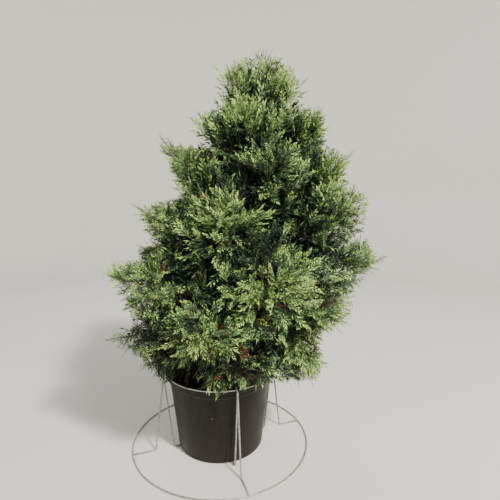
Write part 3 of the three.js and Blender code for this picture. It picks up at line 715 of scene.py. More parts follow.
def barked(points, radii, sides, ridges, depth, seed):
    """A limb whose skin stands in long uneven strips, with its flare or taper in its radii."""
    corners, faces = swept(points, radii * BARK_INSET, sides)
    angles = FULL_TURN * np.arange(sides) / sides
    along = np.arange(len(points))[:, None]
    strips = np.sin(ridges * angles[None] + WAVER * np.sin(along * WAVER_PACE + seed))
    strips += FINE_STRIPS * np.sin((ridges * 2 - 1) * angles[None] + FINE_PACE * along + 2 * seed)
    strips += SKIN_ROUGHNESS * (chance(along * 7.31 + np.arange(sides)[None] * 3.17 + seed) - 0.5)
    middles = np.repeat(points, sides, 0)
    skin = corners[:len(middles)]
    outward = (skin - middles) / np.linalg.norm(skin - middles, axis=1)[:, None]
    corners[:len(middles)] = skin + depth * strips.reshape(-1, 1) * outward
    return corners, faces


TRUNK_FOOT = SOIL_HIGH.z + 0.3 * MM
TRUNK_RINGS = 190
heights = TRUNK_FOOT + (TRUNK_TIP - TRUNK_FOOT) * np.linspace(0, 1, TRUNK_RINGS) ** 1.25
trunk = piece_from_arrays("trunk_bark", *barked(
    trunk_at(heights), trunk_radius(heights), sides=36, ridges=7, depth=0.55 * MM, seed=1.0))
bough_radii = np.linspace(BOUGH_RADIUS, STEM_RADIUS, BOUGH_STEPS + 1)
boughs = piece_from_arrays("bough_bark", *joined([
    barked(branch["bough"], bough_radii, sides=14, ridges=4, depth=0.3 * MM, seed=branch["seed"])
    for branch in boughed]))
bark = Finish("red_brown_bark", (0.16, 0.085, 0.05), 0.85)
fibres = bark.noise(1, 5, (260, 260, 22), 0.62)
flushed = bark.ramp(bark.noise(14, 3), [(0.4, 0.0), (0.75, 0.5)])
bark.colour(bark.mixed(flushed, bark.ramp(fibres, BARK_TONES), (0.21, 0.15, 0.105)))
bark.roughness(fibres, 0.75, 0.95)
bark.relief(fibres, 1.2 * MM)
wear(trunk, bark, ["trunk"])
wear(boughs, bark, [f"bough_{branch['name']}" for branch in boughed])


# Twigs
# Each mass of foliage grows from one stem along its branch's axis. Long twigs leave it at the golden
# angle, with finer ones between, as far as the mass's own space and the crown's outline let them, and
# side twigs leave those to both hands. All are thin, round and red-brown, and turn up near the top.
SPACE_MARGIN = 7 * MM
LIMB_MARGIN = 6 * MM
POT_MARGIN = 12 * MM
LOWEST_FOLIAGE = 290 * MM
STRIDE = 6 * MM
MAIN_TWIGS = 10
TWIG_ROUNDS = 4
FIRST_TWIG = 0.1
LAST_TWIG = 0.84
LAST_FINER_TWIG = 0.93
TWIG_OPENING = 64
OPENING_AT_TIP = 0.65
TWIG_AT_FOOT = 1.1
TWIG_AT_TIP = 0.34
FINER_TWIG_AT_TIP = 0.75
TWIG_ROLL = 60
SHORTEST_TWIG = 30 * MM
TWIG_RADIUS = 1.5 * MM
TWIG_TIP_RADIUS = 0.7 * MM
SIDE_TWIG_THINNESS = 0.7
STEM_THINNESS = 0.9
# How far twigs and sprays turn upwards on each tier, from the skirt to the leader
UPTURN = [-0.1, 0.0, 0.35, 0.5, 0.5, 0.5, 0.5, 0.35]
# Between one tier's tips and the next the crown's outline cuts in to a point: how deep, as a share of
# its reach, at the left and at the right, and how high between the tips, at the left and at the right
CUTS = [
    (0.05, 0.20, 0.5, 0.66),
    (0.23, 0.06, 0.12, 0.4),
    (0.26, 0.07, 0.23, 0.3),
    (0.30, 0.14, 0.2, 0.5),
    (0.46, 0.12, -0.1, 0.3),
    (0.26, 0.54, -0.03, 0.0),
    (0.15, 0.15, 0.5, 0.5),
]
# The same depth at the front and the back, where the tiers run together, and how fast it gets there
FRONT_CUT = 0.03
CUT_TURN = 1.5
# How far the crown reaches round its very top
CROWN_TOP_REACH = 0.03
# The hem of the skirt hangs low at the sides, and rises to the front and the back
HEM = 0.29
HEM_RISE = 0.44

segments = np.array([ends for branch in branches for ends in zip(branch["axis"], branch["axis"][1:])])
segment_owner = np.repeat(np.arange(len(branches)), AXIS_STEPS)
limb_lines = [(trunk_at(np.linspace(SOIL_LEVEL, TRUNK_TIP, 13)), TRUNK_RADIUS)]
limb_lines += [(branch["bough"], BOUGH_RADIUS) for branch in boughed]
limb_segments = np.array([ends for line, _ in limb_lines for ends in zip(line, line[1:])])
limb_radii = np.array([radius for line, radius in limb_lines for _ in line[1:]])

# The crown's outline: for each tier, how far its tips reach from the trunk and how high, all round
tier_outlines = []
for tier in TIERS:
    rim = np.array([tier_tip(tier, turn) for turn in np.linspace(0, FULL_TURN, 72, endpoint=False)])
    offset = rim[:, :2] - trunk_at(rim[:, 2])[:, :2]
    tier_outlines.append((np.arctan2(offset[:, 1], offset[:, 0]), np.hypot(*offset.T), rim[:, 2]))


def from_trunk(points):
    """How far each point is from the trunk's middle line, along the ground."""
    return np.linalg.norm((points - trunk_at(points[:, 2]))[:, :2], axis=1)


def tier_rims(points):
    """The turn of each point about the trunk, and how far and how high each tier's tips are there."""
    offset = points[:, :2] - trunk_at(points[:, 2])[:, :2]
    turns = np.arctan2(offset[:, 1], offset[:, 0])
    reach = [np.interp(turns, rim_turns, radii, period=FULL_TURN) for rim_turns, radii, _ in tier_outlines]
    rise = [np.interp(turns, rim_turns, tops, period=FULL_TURN) for rim_turns, _, tops in tier_outlines]
    count = len(points)
    return turns, reach + [np.full(count, CROWN_TOP_REACH)], rise + [np.full(count, TREE_TOP)]


def crown_reach(points):
    """How far the crown reaches from the trunk, towards each point and at its height."""
    _, reach, rise = tier_rims(points)
    most = reach[0]
    for i in range(len(reach) - 1):
        share = np.clip((points[:, 2] - rise[i]) / (rise[i + 1] - rise[i]), 0, 1)
        most = np.where(points[:, 2] > rise[i], reach[i] + (reach[i + 1] - reach[i]) * share, most)
    return most


def in_cut(points):
    """Whether each point lies in the cut between two tiers: over the line from the lower tip in to the
    cut's point, and outside the line from there out to the upper tip."""
    turns, reach, rise = tier_rims(points)
    out, up = from_trunk(points), points[:, 2]
    sideways, at_left = np.abs(np.cos(turns)), np.cos(turns) < 0
    cut = np.zeros(len(points), dtype=bool)
    for i, (left, right, left_rise, right_rise) in enumerate(CUTS):
        depth = FRONT_CUT + (np.where(at_left, left, right) - FRONT_CUT) * sideways ** CUT_TURN
        point_out = (1 - depth) * (reach[i] + reach[i + 1]) / 2
        point_up = rise[i] + np.where(at_left, left_rise, right_rise) * (rise[i + 1] - rise[i])
        over = (point_out - reach[i]) * (up - rise[i]) < (point_up - rise[i]) * (out - reach[i])
        past, over_point = out - point_out, up - point_up
        outside = (reach[i + 1] - point_out) * over_point < (rise[i + 1] - point_up) * past
        cut |= over & outside
    return cut


def in_crown(points):
    """Whether each point lies within the crown's outline and above its hem."""
    hem = HEM + HEM_RISE * np.abs(points[:, 1])
    return (from_trunk(points) < crown_reach(points)) & ~in_cut(points) & (points[:, 2] > hem)


def distances(points, lines):
    """The distance of each point to each line of an array of (start, end)."""
    start, run = lines[:, 0], lines[:, 1] - lines[:, 0]
    offset = points[:, None] - start[None]
    share = np.clip((offset * run).sum(2) / (run * run).sum(1), 0, 1)
    return np.linalg.norm(offset - share[..., None] * run, axis=2)


def clear_of_pot(points):
    """Whether each point is clear of the pot and its soil."""
    radius = np.hypot(points[:, 0], points[:, 1])
    over_soil, beside = points[:, 2] > SOIL_LEVEL + POT_MARGIN, radius > RIM_RADIUS + POT_MARGIN
    clear = np.where(radius < inner_wall - POT_MARGIN, over_soil, beside)
    return (points[:, 2] > POT_HEIGHT + POT_MARGIN) | ((points[:, 2] >= LOWEST_FOLIAGE) & clear)


def in_space(points, owner):
    """Whether each point lies in a branch's own space, clear of the pot and of every limb."""
    gaps = distances(points, segments)
    own = gaps[:, segment_owner == owner].min(1)
    others = gaps[:, segment_owner != owner].min(1)
    free = others >= own + SPACE_MARGIN
    free &= (distances(points, limb_segments) > limb_radii + LIMB_MARGIN).all(1)
    return free & clear_of_pot(points)


def clear_way(start, heading, most, owner):
    """How far one can go from the stem before leaving the branch's space or the crown."""
    reaches = np.arange(STRIDE, most, STRIDE)
    if not len(reaches):
        return 0.0
    points = start + heading * reaches[:, None]
    free = in_space(points, owner) & in_crown(points)
    if not free.any():
        return 0.0
    first = int(np.argmax(free))
    stopped = np.flatnonzero(~free[first:])
    last = first + (int(stopped[0]) if len(stopped) else len(free) - first) - 1
    return float(reaches[last])


def turned_about(vector, axis, angle):
    """A vector turned about an axis."""
    return (vector * math.cos(angle) + np.cross(axis, vector) * math.sin(angle)
            + axis * axis.dot(vector) * (1 - math.cos(angle)))


def unit(vector):
    return vector / np.linalg.norm(vector)


def leaving(frames, at, angle, opening):
    """The direction that leaves a line at one of its frames, at an angle about it and opened from it."""
    heading, side, across = (rows[at] for rows in frames)
    out = side * math.cos(angle) + across * math.sin(angle)
    return heading * math.cos(opening) + out * math.sin(opening)


def point_on_axis(axis, share):
    """The point at a share of an axis, and the number of its nearest corner."""
    place = share * AXIS_STEPS
    below = min(int(place), AXIS_STEPS - 1)
    point = axis[below] + (place - below) * (axis[below + 1] - axis[below])
    return point, min(int(round(place)), AXIS_STEPS)


def point_on_twig(twig, share):
    """The point at a share of a twig, or at a column of them. A twig droops or rises as it goes."""
    way, length = twig["way"], twig["length"]
    return twig["start"] + way * length * share - UP * twig["droop"] * length * share ** 2


def twig_heading(twig, share):
    return unit(twig["way"] - UP * 2 * twig["droop"] * share)


draw = np.random.default_rng(7)
twigs, twig_meshes = [], []


def grow_twig(kind, owner, start, way, flat, length, droop):
    """A twig and its thin rod of bark. Main and inner twigs are the thicker ones."""
    twig = dict(kind=kind, owner=owner, start=start, way=way, flat=flat, length=length, droop=droop)
    twigs.append(twig)
    count, thickness = (5, 1) if kind in ("main", "inner") else (3, SIDE_TWIG_THINNESS)
    line = point_on_twig(twig, np.linspace(0, 1, count)[:, None])
    twig_meshes.append(swept(line, np.linspace(TWIG_RADIUS * thickness, TWIG_TIP_RADIUS, count), 3))


for owner, branch in enumerate(branches):
    frames = frames_along(branch["axis"])
    stem_radii = np.linspace(STEM_RADIUS, STEM_TIP_RADIUS, AXIS_STEPS + 1) * STEM_THINNESS
    twig_meshes.append(swept(branch["axis"], stem_radii, 6))
    start_turn = FULL_TURN * chance(branch["seed"])
    for k in range(MAIN_TWIGS):
        for finer in range(TWIG_ROUNDS):
            step = (k + finer / TWIG_ROUNDS) / (MAIN_TWIGS - 1)
            share = min(FIRST_TWIG + (LAST_TWIG - FIRST_TWIG) * step, LAST_FINER_TWIG)
            point, at = point_on_axis(branch["axis"], share)
            angle = GOLDEN_ANGLE * k + start_turn + FULL_TURN * finer / TWIG_ROUNDS
            opening = math.radians(TWIG_OPENING * (1 + (OPENING_AT_TIP - 1) * share))
            way = unit(leaving(frames, at, angle, opening))
            at_tip = FINER_TWIG_AT_TIP if finer else TWIG_AT_TIP
            longest = branch["twig"] * (TWIG_AT_FOOT + (at_tip - TWIG_AT_FOOT) * share)
            reach = clear_way(point, way, longest, owner)
            if reach < SHORTEST_TWIG:
                continue
            roll = math.radians(TWIG_ROLL * (2 * chance(branch["seed"] + 0.1 * k + 0.037 * finer) - 1))
            flat = turned_about(unit(np.cross(way, UP)), way, roll)
            grow_twig("main", owner, point, way, flat, reach, branch["droop"])

# Short shaded twigs on the bare boughs close the hollows inside the crown
INNER_TWIGS = 12
INNER_FROM_CORNER = 3
INNER_LONGEST = 150 * MM
INNER_SHORTEST_SHARE = 0.6
INNER_OPENING = 62
INNER_DROOP = 0.1
INNER_MARGIN = 30 * MM
for owner, branch in enumerate(boughed):
    line = branch["bough"][INNER_FROM_CORNER:]
    frames = frames_along(line)
    for i in range(INNER_TWIGS):
        at = int(round((len(line) - 1) * (i + 0.5) / INNER_TWIGS))
        way = unit(leaving(frames, at, GOLDEN_ANGLE * i + owner, math.radians(INNER_OPENING)))
        length = INNER_LONGEST * draw.uniform(INNER_SHORTEST_SHARE, 1)
        end = line[at] + way * (length + INNER_MARGIN)
        if clear_of_pot(end[None])[0] and in_crown(end[None])[0]:
            grow_twig("inner", owner, line[at], way, unit(np.cross(way, UP)), length, INNER_DROOP)

# Side twigs leave the others to both hands, shorter towards their tips
SIDE_TWIG_SPACING = 26 * MM
SIDE_TWIG_SHARE = 0.62
SIDE_TWIG_EXTRA = 20 * MM
SIDE_TWIG_OPENING = 46
SIDE_TWIG_SPREAD = 55
SIDE_TWIG_UPTURN = 0.6
SIDE_TWIG_LONGEST = 120 * MM
SIDE_TWIG_SHORTEST = 28 * MM
QUARTERS = np.array([[0.25], [0.5], [0.75], [1.0]])
for twig in list(twigs):
    owner, length = twig["owner"], twig["length"]
    count = int(length / SIDE_TWIG_SPACING)
    for i in range(count):
        share = (i + 0.6) / count
        start, tangent = point_on_twig(twig, share), twig_heading(twig, share)
        flat = turned_about(twig["flat"], tangent, math.radians(SIDE_TWIG_SPREAD * draw.uniform(-1, 1)))
        opening = math.radians(SIDE_TWIG_OPENING * draw.uniform(0.8, 1.2))
        out = flat if i % 2 else -flat
        upturn = UP * UPTURN[branches[owner]["level"]] * SIDE_TWIG_UPTURN
        way = unit(tangent * math.cos(opening) + out * math.sin(opening) + upturn)
        longest = min(SIDE_TWIG_SHARE * length * (1.1 - 0.5 * share) + SIDE_TWIG_EXTRA, SIDE_TWIG_LONGEST)
        points = start + way * longest * QUARTERS
        free = clear_of_pot(points) if twig["kind"] == "inner" else in_space(points, owner)
        free &= in_crown(points)
        reach = longest * (4 if free.all() else int(np.argmin(free))) / 4
        if reach >= SIDE_TWIG_SHORTEST:
            grow_twig("side", owner, start, way, unit(np.cross(way, out)), reach, 0.5 * twig["droop"])

# At the front a few leafy twigs hang over the pot's rim and in thin places, each from the nearest twig
# above its tip, and others rise, each from the nearest below: where the tips are, and the least drop
LEAFY_TIPS = [
    ((0.030, -0.280, 0.384), 0.07),
    ((-0.030, -0.285, 0.398), 0.07),
    ((0.185, -0.275, 0.410), 0.07),
    ((0.150, -0.262, 0.430), 0.07),
    ((-0.200, -0.225, 0.395), 0.07),
    ((0.270, -0.050, 1.590), -0.06),
    ((0.250, -0.060, 1.545), -0.06),
    ((0.305, -0.040, 1.560), -0.06),
    ((0.130, -0.050, 1.620), -0.06),
    ((0.080, -0.050, 1.620), -0.06),
    ((0.215, -0.060, 1.530), -0.06),
    ((0.275, -0.060, 1.505), -0.06),
    ((0.506, -0.080, 0.966), -0.04),
    ((0.537, -0.080, 0.924), -0.04),
    ((0.500, -0.080, 0.894), -0.04),
    ((-0.052, -0.310, 0.783), 0.05),
    ((-0.038, -0.320, 0.733), 0.05),
    ((-0.026, -0.310, 0.836), 0.05),
    ((0.031, -0.330, 0.667), 0.05),
]
LEAFY_BEND = 0.35
middles = np.array([point_on_twig(twig, 0.5) for twig in twigs])
for tip, drop in LEAFY_TIPS:
    too_near = (middles[:, 2] - tip[2]) * np.sign(drop) < abs(drop)
    nearest = int(np.argmin(np.linalg.norm(middles - tip, axis=1) + too_near))
    owner, start, run = twigs[nearest]["owner"], middles[nearest], tip - middles[nearest]
    length = np.linalg.norm(run)
    bend = LEAFY_BEND * np.sign(drop)
    grow_twig("leafy", owner, start, run / length + bend * UP, unit(np.cross(run, UP)), length, bend)
twig_piece = piece_from_arrays("twigs", *joined(twig_meshes))
TWIG_TONES = [(0.3, (0.04, 0.022, 0.015)), (0.55, (0.09, 0.05, 0.03)), (0.75, (0.12, 0.09, 0.045))]
twig_bark = Finish("twig_bark", (0.09, 0.05, 0.032), 0.7)
twig_tone = twig_bark.noise(45, 4)
twig_bark.colour(twig_bark.ramp(twig_tone, TWIG_TONES))
twig_bark.roughness(twig_tone, 0.6, 0.85)
twig_bark.relief(twig_bark.noise(400, 3), 0.5 * MM)
mass_names = [f"foliage_{branch['name']}" for branch in branches]
wear(twig_piece, twig_bark, mass_names)


# Foliage
# Scale leaves clothe flat, fern-like sprays: sprigs stand in two rows on a spray's own small twig,
# and each sprig is toothed where its shoots fork. Their greens are painted light and shade: yellow-green
# on fresh tips and where sprays stand out in the light, mid and blue-green further in, and painted shade
# near black inside the crown. A few have died and turned rusty.
SPRAY_PLANS = 8
SPRAY_PLAN_SEED = 100
SPRIG_PAIRS = 5
SPRIG_REACH = 0.42
SPRIG_HALF_WIDTH = 0.026
SPRIG_WIDEST = 0.5
SPRIG_ANGLE = 37
SPRIG_CLOSING = 16
SPRIG_LIFT = 0.3
SPRIG_ROLL = 0.9
STALK_HALF_WIDTH = 0.012
TOOTH_REACH = 0.34
TOOTH_SPREAD = 0.42
TOOTH_FOOT = 0.36
TOOTH_STEP = 0.12
NEWER_FROM = 0.25


def spray_plan(seed):
    """One spray of unit length along X, nearly flat: the meshes of its older scales and its newer."""
    draw = np.random.default_rng(seed)
    older, newer = ([], []), ([], [])

    def scales(mesh, *triangle):
        corners, faces = mesh
        faces.append((len(corners), len(corners) + 1, len(corners) + 2))
        corners.extend(triangle)

    def sprig(x, angle, length, half_width):
        """A slim blade, rolled and lifted by chance, with a pair of forward teeth. Its outer half is
        new growth, except near the foot of the spray."""
        root = np.array([x, 0, 0])
        lift, roll = draw.uniform(-SPRIG_LIFT, SPRIG_LIFT), draw.uniform(-SPRIG_ROLL, SPRIG_ROLL)
        way = np.array([math.cos(angle), math.sin(angle), lift])
        across = np.array([-way[1] * math.cos(roll), way[0] * math.cos(roll), math.sin(roll)])
        outer = newer if x + draw.uniform(-0.2, 0.2) > NEWER_FROM else older
        middle = root + way * SPRIG_WIDEST * length
        left, right = middle + across * half_width, middle - across * half_width
        scales(older, root, right, left)
        scales(outer, right, root + way * length, left)
        for hand in (-1, 1):
            foot = root + way * (TOOTH_FOOT + TOOTH_STEP * hand + draw.uniform(-0.05, 0.05)) * length
            tooth = way * 0.9 + across * hand * TOOTH_SPREAD
            tip = foot + tooth * TOOTH_REACH * draw.uniform(0.8, 1.2) * length
            low, high = foot - way * 0.03 * length, foot + way * 0.07 * length
            scales(*((outer, low, high, tip) if hand > 0 else (older, low, tip, high)))

    for hand in (-1, 1):
        for i in range(SPRIG_PAIRS):
            x = 0.05 + 0.8 * (i + 0.25 * (1 + hand)) / SPRIG_PAIRS + draw.uniform(-0.015, 0.015)
            length = SPRIG_REACH * (1 - x) ** 0.75 * min(1, (x + 0.25) / 0.42) * draw.uniform(0.8, 1.15)
            angle = hand * math.radians(SPRIG_ANGLE - SPRIG_CLOSING * x + draw.uniform(-6, 6))
            sprig(x, angle, length, SPRIG_HALF_WIDTH * draw.uniform(0.8, 1.15))
    sprig(0.0, 0, 0.6, STALK_HALF_WIDTH)
    sprig(0.55, 0, 0.45, SPRIG_HALF_WIDTH)
    return [(np.array(corners), np.array(faces)) for corners, faces in (older, newer)]


NORMAL_SPREAD = 0.32
plans = [spray_plan(SPRAY_PLAN_SEED + i) for i in range(SPRAY_PLANS)]
sprays = {key: [] for key in ("owner", "start", "way", "normal", "length", "along", "droop", "place")}


def add_spray(owner, start, way, length, along, droop, place="twig"):
    """A spray whose flat side looks up and out of the crown, give or take chance."""
    outward = start - trunk_at(start[2])
    normal = UP * 0.6 + 0.8 * unit(outward * [1, 1, 0] + 1e-6) + draw.normal(0, NORMAL_SPREAD, 3)
    normal = unit(normal - normal.dot(way) * way)
    for key, value in zip(sprays, (owner, start, way, normal, length, along, droop, place)):
        sprays[key].append(value)


# Side twigs carry sprays along most of their length, closer on leafy twigs and near the top, and every
# twig ends in one
SPRAY_SPACING = 16 * MM
LEAFY_SPACING = 0.5
TOP_SPACING = 0.75
SPRAY_LONGEST = 96 * MM
SPRAY_SHORTEST = 52 * MM
SPRAY_OPENING = 40
SPRAY_OPENING_SPREAD = 12
SPRAY_TURN_SPREAD = 40
SPRAY_DROOP = 0.1
LEAFY_FROM = 0.3
LEAFY_TO = 0.9
TOP_LEVEL = 5


def spray_reach(length, most=1):
    return float(np.clip(length, SPRAY_SHORTEST, most * SPRAY_LONGEST))


for twig in twigs:
    owner, length, way, flat, droop = (twig[key] for key in ("owner", "length", "way", "flat", "droop"))
    level = branches[owner]["level"]
    upturn = UP * UPTURN[level]
    place = "leafy" if twig["kind"] == "leafy" else "twig"
    closeness = LEAFY_SPACING if place == "leafy" else TOP_SPACING if level >= TOP_LEVEL else 1
    leafy_length = (1 - LEAFY_FROM) * length
    count = int(leafy_length / (SPRAY_SPACING * closeness)) if twig["kind"] in ("side", "leafy") else 1
    for i in range(count):
        share = LEAFY_FROM + (LEAFY_TO - LEAFY_FROM) * (i + 0.5) / count
        start, tangent = point_on_twig(twig, share), twig_heading(twig, share)
        turn = math.radians(draw.uniform(-SPRAY_TURN_SPREAD, SPRAY_TURN_SPREAD))
        out = turned_about(flat if i % 2 else -flat, tangent, turn)
        opening = math.radians(SPRAY_OPENING + draw.uniform(-SPRAY_OPENING_SPREAD, SPRAY_OPENING_SPREAD))
        direction = unit(tangent * math.cos(opening) + out * math.sin(opening) + 0.8 * upturn)
        reach = spray_reach(0.8 * length * (1.1 - 0.5 * share), 0.85) * draw.uniform(0.85, 1.15)
        add_spray(owner, start, direction, reach, share, SPRAY_DROOP + 0.5 * droop, place)
    reach = spray_reach(0.9 * length)
    start = point_on_twig(twig, max(1 - 0.7 * reach / length, 0))
    add_spray(owner, start, unit(way - UP * 1.8 * droop + 0.6 * upturn), reach, 1, 0.5 * droop, place)

# The stem's own end carries sprays all round it, up to the tip: from which share of it, how many and
# how short, on most branches and on the topmost
STEM_SPRAYS = (0.5, 22, 45 * MM)
TOP_STEM_SPRAYS = (0.2, 46, 30 * MM)
STEM_SPRAY_LONGEST = 90 * MM
LAST_STEM_SPRAY = 0.985
TIP_OPENING = 12
TIP_OPENING_MORE = 34
TIP_OPENS_OVER = 120 * MM
for owner, branch in enumerate(branches):
    frames = frames_along(branch["axis"])
    first, count, shortest = TOP_STEM_SPRAYS if branch["level"] >= TOP_LEVEL else STEM_SPRAYS
    upturn = UP * 0.5 * UPTURN[branch["level"]]
    for i in range(count):
        share = first + (LAST_STEM_SPRAY - first) * (i / (count - 1)) ** 0.85
        start, at = point_on_axis(branch["axis"], share)
        left = np.linalg.norm(branch["axis"][-1] - start)
        opening = math.radians(TIP_OPENING + TIP_OPENING_MORE * min(left / TIP_OPENS_OVER, 1))
        direction = unit(leaving(frames, at, GOLDEN_ANGLE * i + branch["seed"], opening) + upturn)
        reach = float(np.clip(left / max(math.cos(opening), 0.5), shortest, STEM_SPRAY_LONGEST))
        add_spray(owner, start, direction, reach, 1, SPRAY_DROOP + branch["droop"] * 0.4, "stem")

# Shaded hollows in the front of the crown, where few sprays reach the light: a place, a radius and
# how deep they are
HOLLOWS = [
    ((-0.10, -0.26, 0.46), 0.068, 1.0),
    ((0.12, -0.27, 0.46), 0.07, 1.0),
    ((0.14, -0.30, 1.15), 0.05, 1.0),
    ((0.16, -0.42, 0.94), 0.045, 1.0),
    ((-0.13, -0.31, 0.86), 0.04, 0.6),
    ((-0.17, -0.24, 0.60), 0.055, 1.0),
    ((-0.18, -0.22, 0.53), 0.07, 0.8),
    ((-0.22, -0.19, 0.54), 0.11, 0.5),
    ((0.20, -0.27, 1.24), 0.12, 0.32),
    ((0.04, -0.26, 0.46), 0.17, 0.38),
    ((0.42, -0.20, 0.95), 0.15, 0.18),
]
# Where in the front small clusters of sprays have died, and how many single ones have, up to a height
RUSTY_RADIUS = 20 * MM
RUSTY_PLACES = [
    (0.163, -0.385, 0.935),
    (0.175, -0.380, 0.682),
    (0.110, -0.340, 0.552),
    (0.280, -0.335, 0.568),
    (0.443, -0.257, 0.723),
    (0.213, -0.170, 0.963),
]
RUSTY_SHARE = 0.007
RUSTY_BELOW = 1.15
RUSTY_TONE = 0.85
# Sprays deeper in the crown than this share of its reach are longer, and close it
INNER_FROM = 0.62
INNER_SCALE = 1.5
# How far sprays may pass the hem, the crown's outline and the top of the tree
PAST_HEM = 15 * MM
PAST_OUTLINE = 14 * MM
PAST_TOP = 8 * MM

sprays = {key: np.array(value) for key, value in sprays.items()}
inside = from_trunk(sprays["start"]) < INNER_FROM * crown_reach(sprays["start"])
sprays["length"] *= np.where(inside, INNER_SCALE, 1)
run = (sprays["way"] - UP * sprays["droop"][:, None]) * sprays["length"][:, None]
sprays["tip"] = sprays["start"] + run
tips = sprays["tip"]
sprays["middle"] = (tips + sprays["start"]) / 2
sprays["hollow"] = np.zeros(len(tips))
for place, radius, depth in HOLLOWS:
    away = np.linalg.norm(sprays["middle"] - place, axis=1) / radius
    sprays["hollow"] = np.maximum(sprays["hollow"], depth * np.exp(-away ** 2))
sprays["hollow"][sprays["place"] == "leafy"] = 0
kept = clear_of_pot(tips) & clear_of_pot(sprays["middle"])
kept &= (sprays["place"] != "twig") | (
    (tips[:, 2] > HEM + HEM_RISE * np.abs(tips[:, 1]) - PAST_HEM)
    & (from_trunk(tips) < crown_reach(tips) + PAST_OUTLINE)
    & ~in_cut(0.75 * tips + 0.25 * sprays["start"]))
kept &= tips[:, 2] < TREE_TOP + PAST_TOP
kept &= sprays["hollow"] < draw.uniform(0.5, 1.3, len(tips))
sprays = {key: value[kept] for key, value in sprays.items()}
tips = sprays["tip"]
spray_count = len(tips)
plan_of = draw.integers(0, SPRAY_PLANS, spray_count)

# How much painted light a spray gets: by how far out it stands and where on its twig, by its height,
# in clumps, and by chance. Leafy twigs and the apex get more painted light, and hollows painted shade.
# The greens are dealt out in the order of this tone.
APEX_FROM = 1.42
CHANCE_SPREAD = 0.11
outer = np.clip(from_trunk(tips) / crown_reach(tips), 0, 1.1)
height = (tips[:, 2] - LOWEST_FOLIAGE) / (TREE_TOP - LOWEST_FOLIAGE)
clumps = np.sin(tips @ [41, 17, 29]) * np.sin(tips @ [-19, 37, 33] + 1)
painted_light = 0.9 * outer + 0.12 * sprays["along"] + 0.12 * height + 0.07 * clumps - 0.7 * sprays["hollow"]
painted_light += 0.06 * np.clip((tips[:, 2] - APEX_FROM) / (TREE_TOP - APEX_FROM), 0, 1)
painted_light += 0.15 * (sprays["place"] == "leafy") + draw.normal(0, CHANCE_SPREAD, spray_count)
dead = draw.uniform(0, 1, spray_count) < RUSTY_SHARE
dead &= (tips[:, 2] < RUSTY_BELOW) & (painted_light < RUSTY_TONE)
for place in RUSTY_PLACES:
    dead |= np.linalg.norm(sprays["middle"] - place, axis=1) < RUSTY_RADIUS

# From the darkest to the lightest, painted shade deep in the crown to painted sunlight on outer tips:
# a name, the share of the sprays that have it, and the colour
PAINTED_LIGHT_GREENS = [
    ("inner", 0.36, (0.006, 0.011, 0.006)),
    ("shaded", 0.21, (0.014, 0.027, 0.014)),
    ("blue_green", 0.13, (0.035, 0.069, 0.039)),
    ("mid_green", 0.12, (0.092, 0.166, 0.068)),
    ("fresh", 0.11, (0.205, 0.328, 0.100)),
    ("tip", 0.07, (0.410, 0.560, 0.142)),
]
RUST = ("rusty", 0, (0.20, 0.082, 0.042))
SPRIG_CUP = 0.25
MOST_TRIANGLES = 190000


def spray_meshes(chosen, newer):
    """The meshes of the older or the newer scales of some sprays, one for each plan."""
    parts = []
    for number, plan in enumerate(plans):
        corners, faces = plan[newer]
        rows = chosen[plan_of[chosen] == number]
        if not len(rows):
            continue
        start, way, normal, length, droop = (
            sprays[key][rows] for key in ("start", "way", "normal", "length", "droop"))
        flat = np.cross(normal, way)
        x, y, z = corners.T
        sag = droop[:, None] * x[None] ** 2 + SPRIG_CUP * y[None] ** 2
        placed = start[:, None] + length[:, None, None] * (
            x[None, :, None] * way[:, None] + y[None, :, None] * flat[:, None]
            + z[None, :, None] * normal[:, None] - sag[..., None] * UP)
        shifted = faces[None] + (np.arange(len(rows)) * len(corners))[:, None, None]
        parts.append((placed.reshape(-1, 3), shifted.reshape(-1, 3)))
    return parts


def leaf_finish(name, colour):
    """Waxy scale leaves: one colour, a little lighter and darker along the sprigs."""
    finish = Finish(name, colour, 0.6, specular=0.15)
    dark, light = tuple(0.6 * c for c in colour), tuple(min(1.35 * c, 1) for c in colour)
    finish.colour(finish.ramp(finish.noise(70, 3, roughness=0.6), [(0.35, dark), (0.65, light)]))
    finish.roughness(finish.noise(260, 2), 0.45, 0.68)
    finish.relief(finish.noise(700, 2), 0.4 * MM, 0.5)
    return finish


order = np.argsort(painted_light)
order = order[~dead[order]]
ends = (np.cumsum([share for _, share, _ in PAINTED_LIGHT_GREENS]) * len(order)).astype(int)
dealt = np.split(order, ends[:-1])
# The newer scales of a spray are up to two steps lighter than its older ones: the paler colour of new
# growth, and painted light on the outer half of each sprig
nothing, rusty = order[:0], np.flatnonzero(dead)
older_rows = [np.concatenate(dealt[:2])] + dealt[2:] + [nothing, rusty]
newer_rows = [nothing] + dealt[:-2] + [np.concatenate(dealt[-2:]), rusty]
most_sprays = MOST_TRIANGLES // sum(len(faces) for _, faces in plans[0])
for (name, _, colour), older, newer in zip(PAINTED_LIGHT_GREENS + [RUST], older_rows, newer_rows):
    finish = leaf_finish("leaves_" + name, colour)
    for part, start in enumerate(range(0, max(len(older), len(newer)), most_sprays)):
        some_older, some_newer = older[start:start + most_sprays], newer[start:start + most_sprays]
        mesh = joined(spray_meshes(some_older, 0) + spray_meshes(some_newer, 1))
        piece = piece_from_arrays(f"sprays_{name}_{part + 1}", *mesh, smooth=False)
        held = np.unique(sprays["owner"][np.concatenate([some_older, some_newer])])
        wear(piece, finish, [mass_names[i] for i in held])


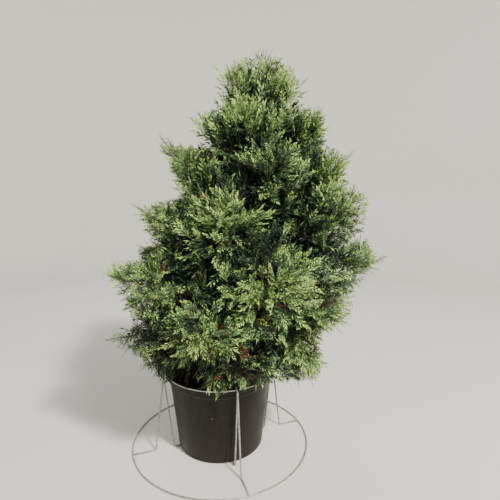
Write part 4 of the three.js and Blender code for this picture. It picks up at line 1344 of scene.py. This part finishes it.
# Studio
# A plain pale floor that curves up into a backdrop, one key light high to the right of the camera, a
# soft fill, a light from behind, and the camera at the photograph's place.
SWEEP_FLAT = 4.2
SWEEP_BEND = 1.4
SWEEP_HEIGHT = 5.5
SKY_COLOUR = (0.86, 0.9, 0.96, 1)
SKY_STRENGTH = 0.22
# Each light: its name, place, the height it aims at, its width, its power and its colour
LIGHTS = [
    ("key", (3.4, -4.25, 5.8), 0.8, 0.9, 1260, (1.0, 0.96, 0.88)),
    ("fill", (-3.2, -2.4, 2.2), 0.8, 2.4, 25, (0.9, 0.95, 1.0)),
    ("rim", (-1.6, 3.2, 3.4), 0.9, 1.6, 60, (1.0, 0.98, 0.95)),
]
AIM_X = 0.1
CAMERA_PLACE = (0.137, -1.75, 1.133)
CAMERA_TILT = 7.86
CAMERA_LENS = 28.8

sweep = [(0, 0), (SWEEP_FLAT, 0)] + arc((SWEEP_FLAT, SWEEP_BEND), SWEEP_BEND, -90, 0, 12)[1:]
sweep.append((SWEEP_FLAT + SWEEP_BEND, SWEEP_HEIGHT))
floor = piece_from_arrays("floor", *turned(sweep, 96))
merge_corners(floor)
floor.data.flip_normals()
floor.data.materials.append(Finish("pale_floor", (0.62, 0.61, 0.59), 0.9).material)

world = bpy.data.worlds.new("studio")
bpy.context.scene.world = world
world.use_nodes = True
world.node_tree.nodes["Background"].inputs["Color"].default_value = SKY_COLOUR
world.node_tree.nodes["Background"].inputs["Strength"].default_value = SKY_STRENGTH

for name, place, aim_height, width, power, colour in LIGHTS:
    light = bpy.data.lights.new(name, "AREA")
    light.shape = "DISK"
    light.size = width
    light.energy = power
    light.color = colour
    lamp = shown(name, light)
    lamp.location = place
    aim = Vector((AIM_X, 0, aim_height)) - Vector(place)
    lamp.rotation_euler = aim.to_track_quat("-Z", "Y").to_euler()

camera = bpy.data.cameras.new("camera")
camera.lens = CAMERA_LENS
camera.sensor_width = 36
eye = shown("camera", camera)
eye.location = CAMERA_PLACE
eye.rotation_euler = (math.radians(90 - CAMERA_TILT), 0, 0)
bpy.context.scene.camera = eye
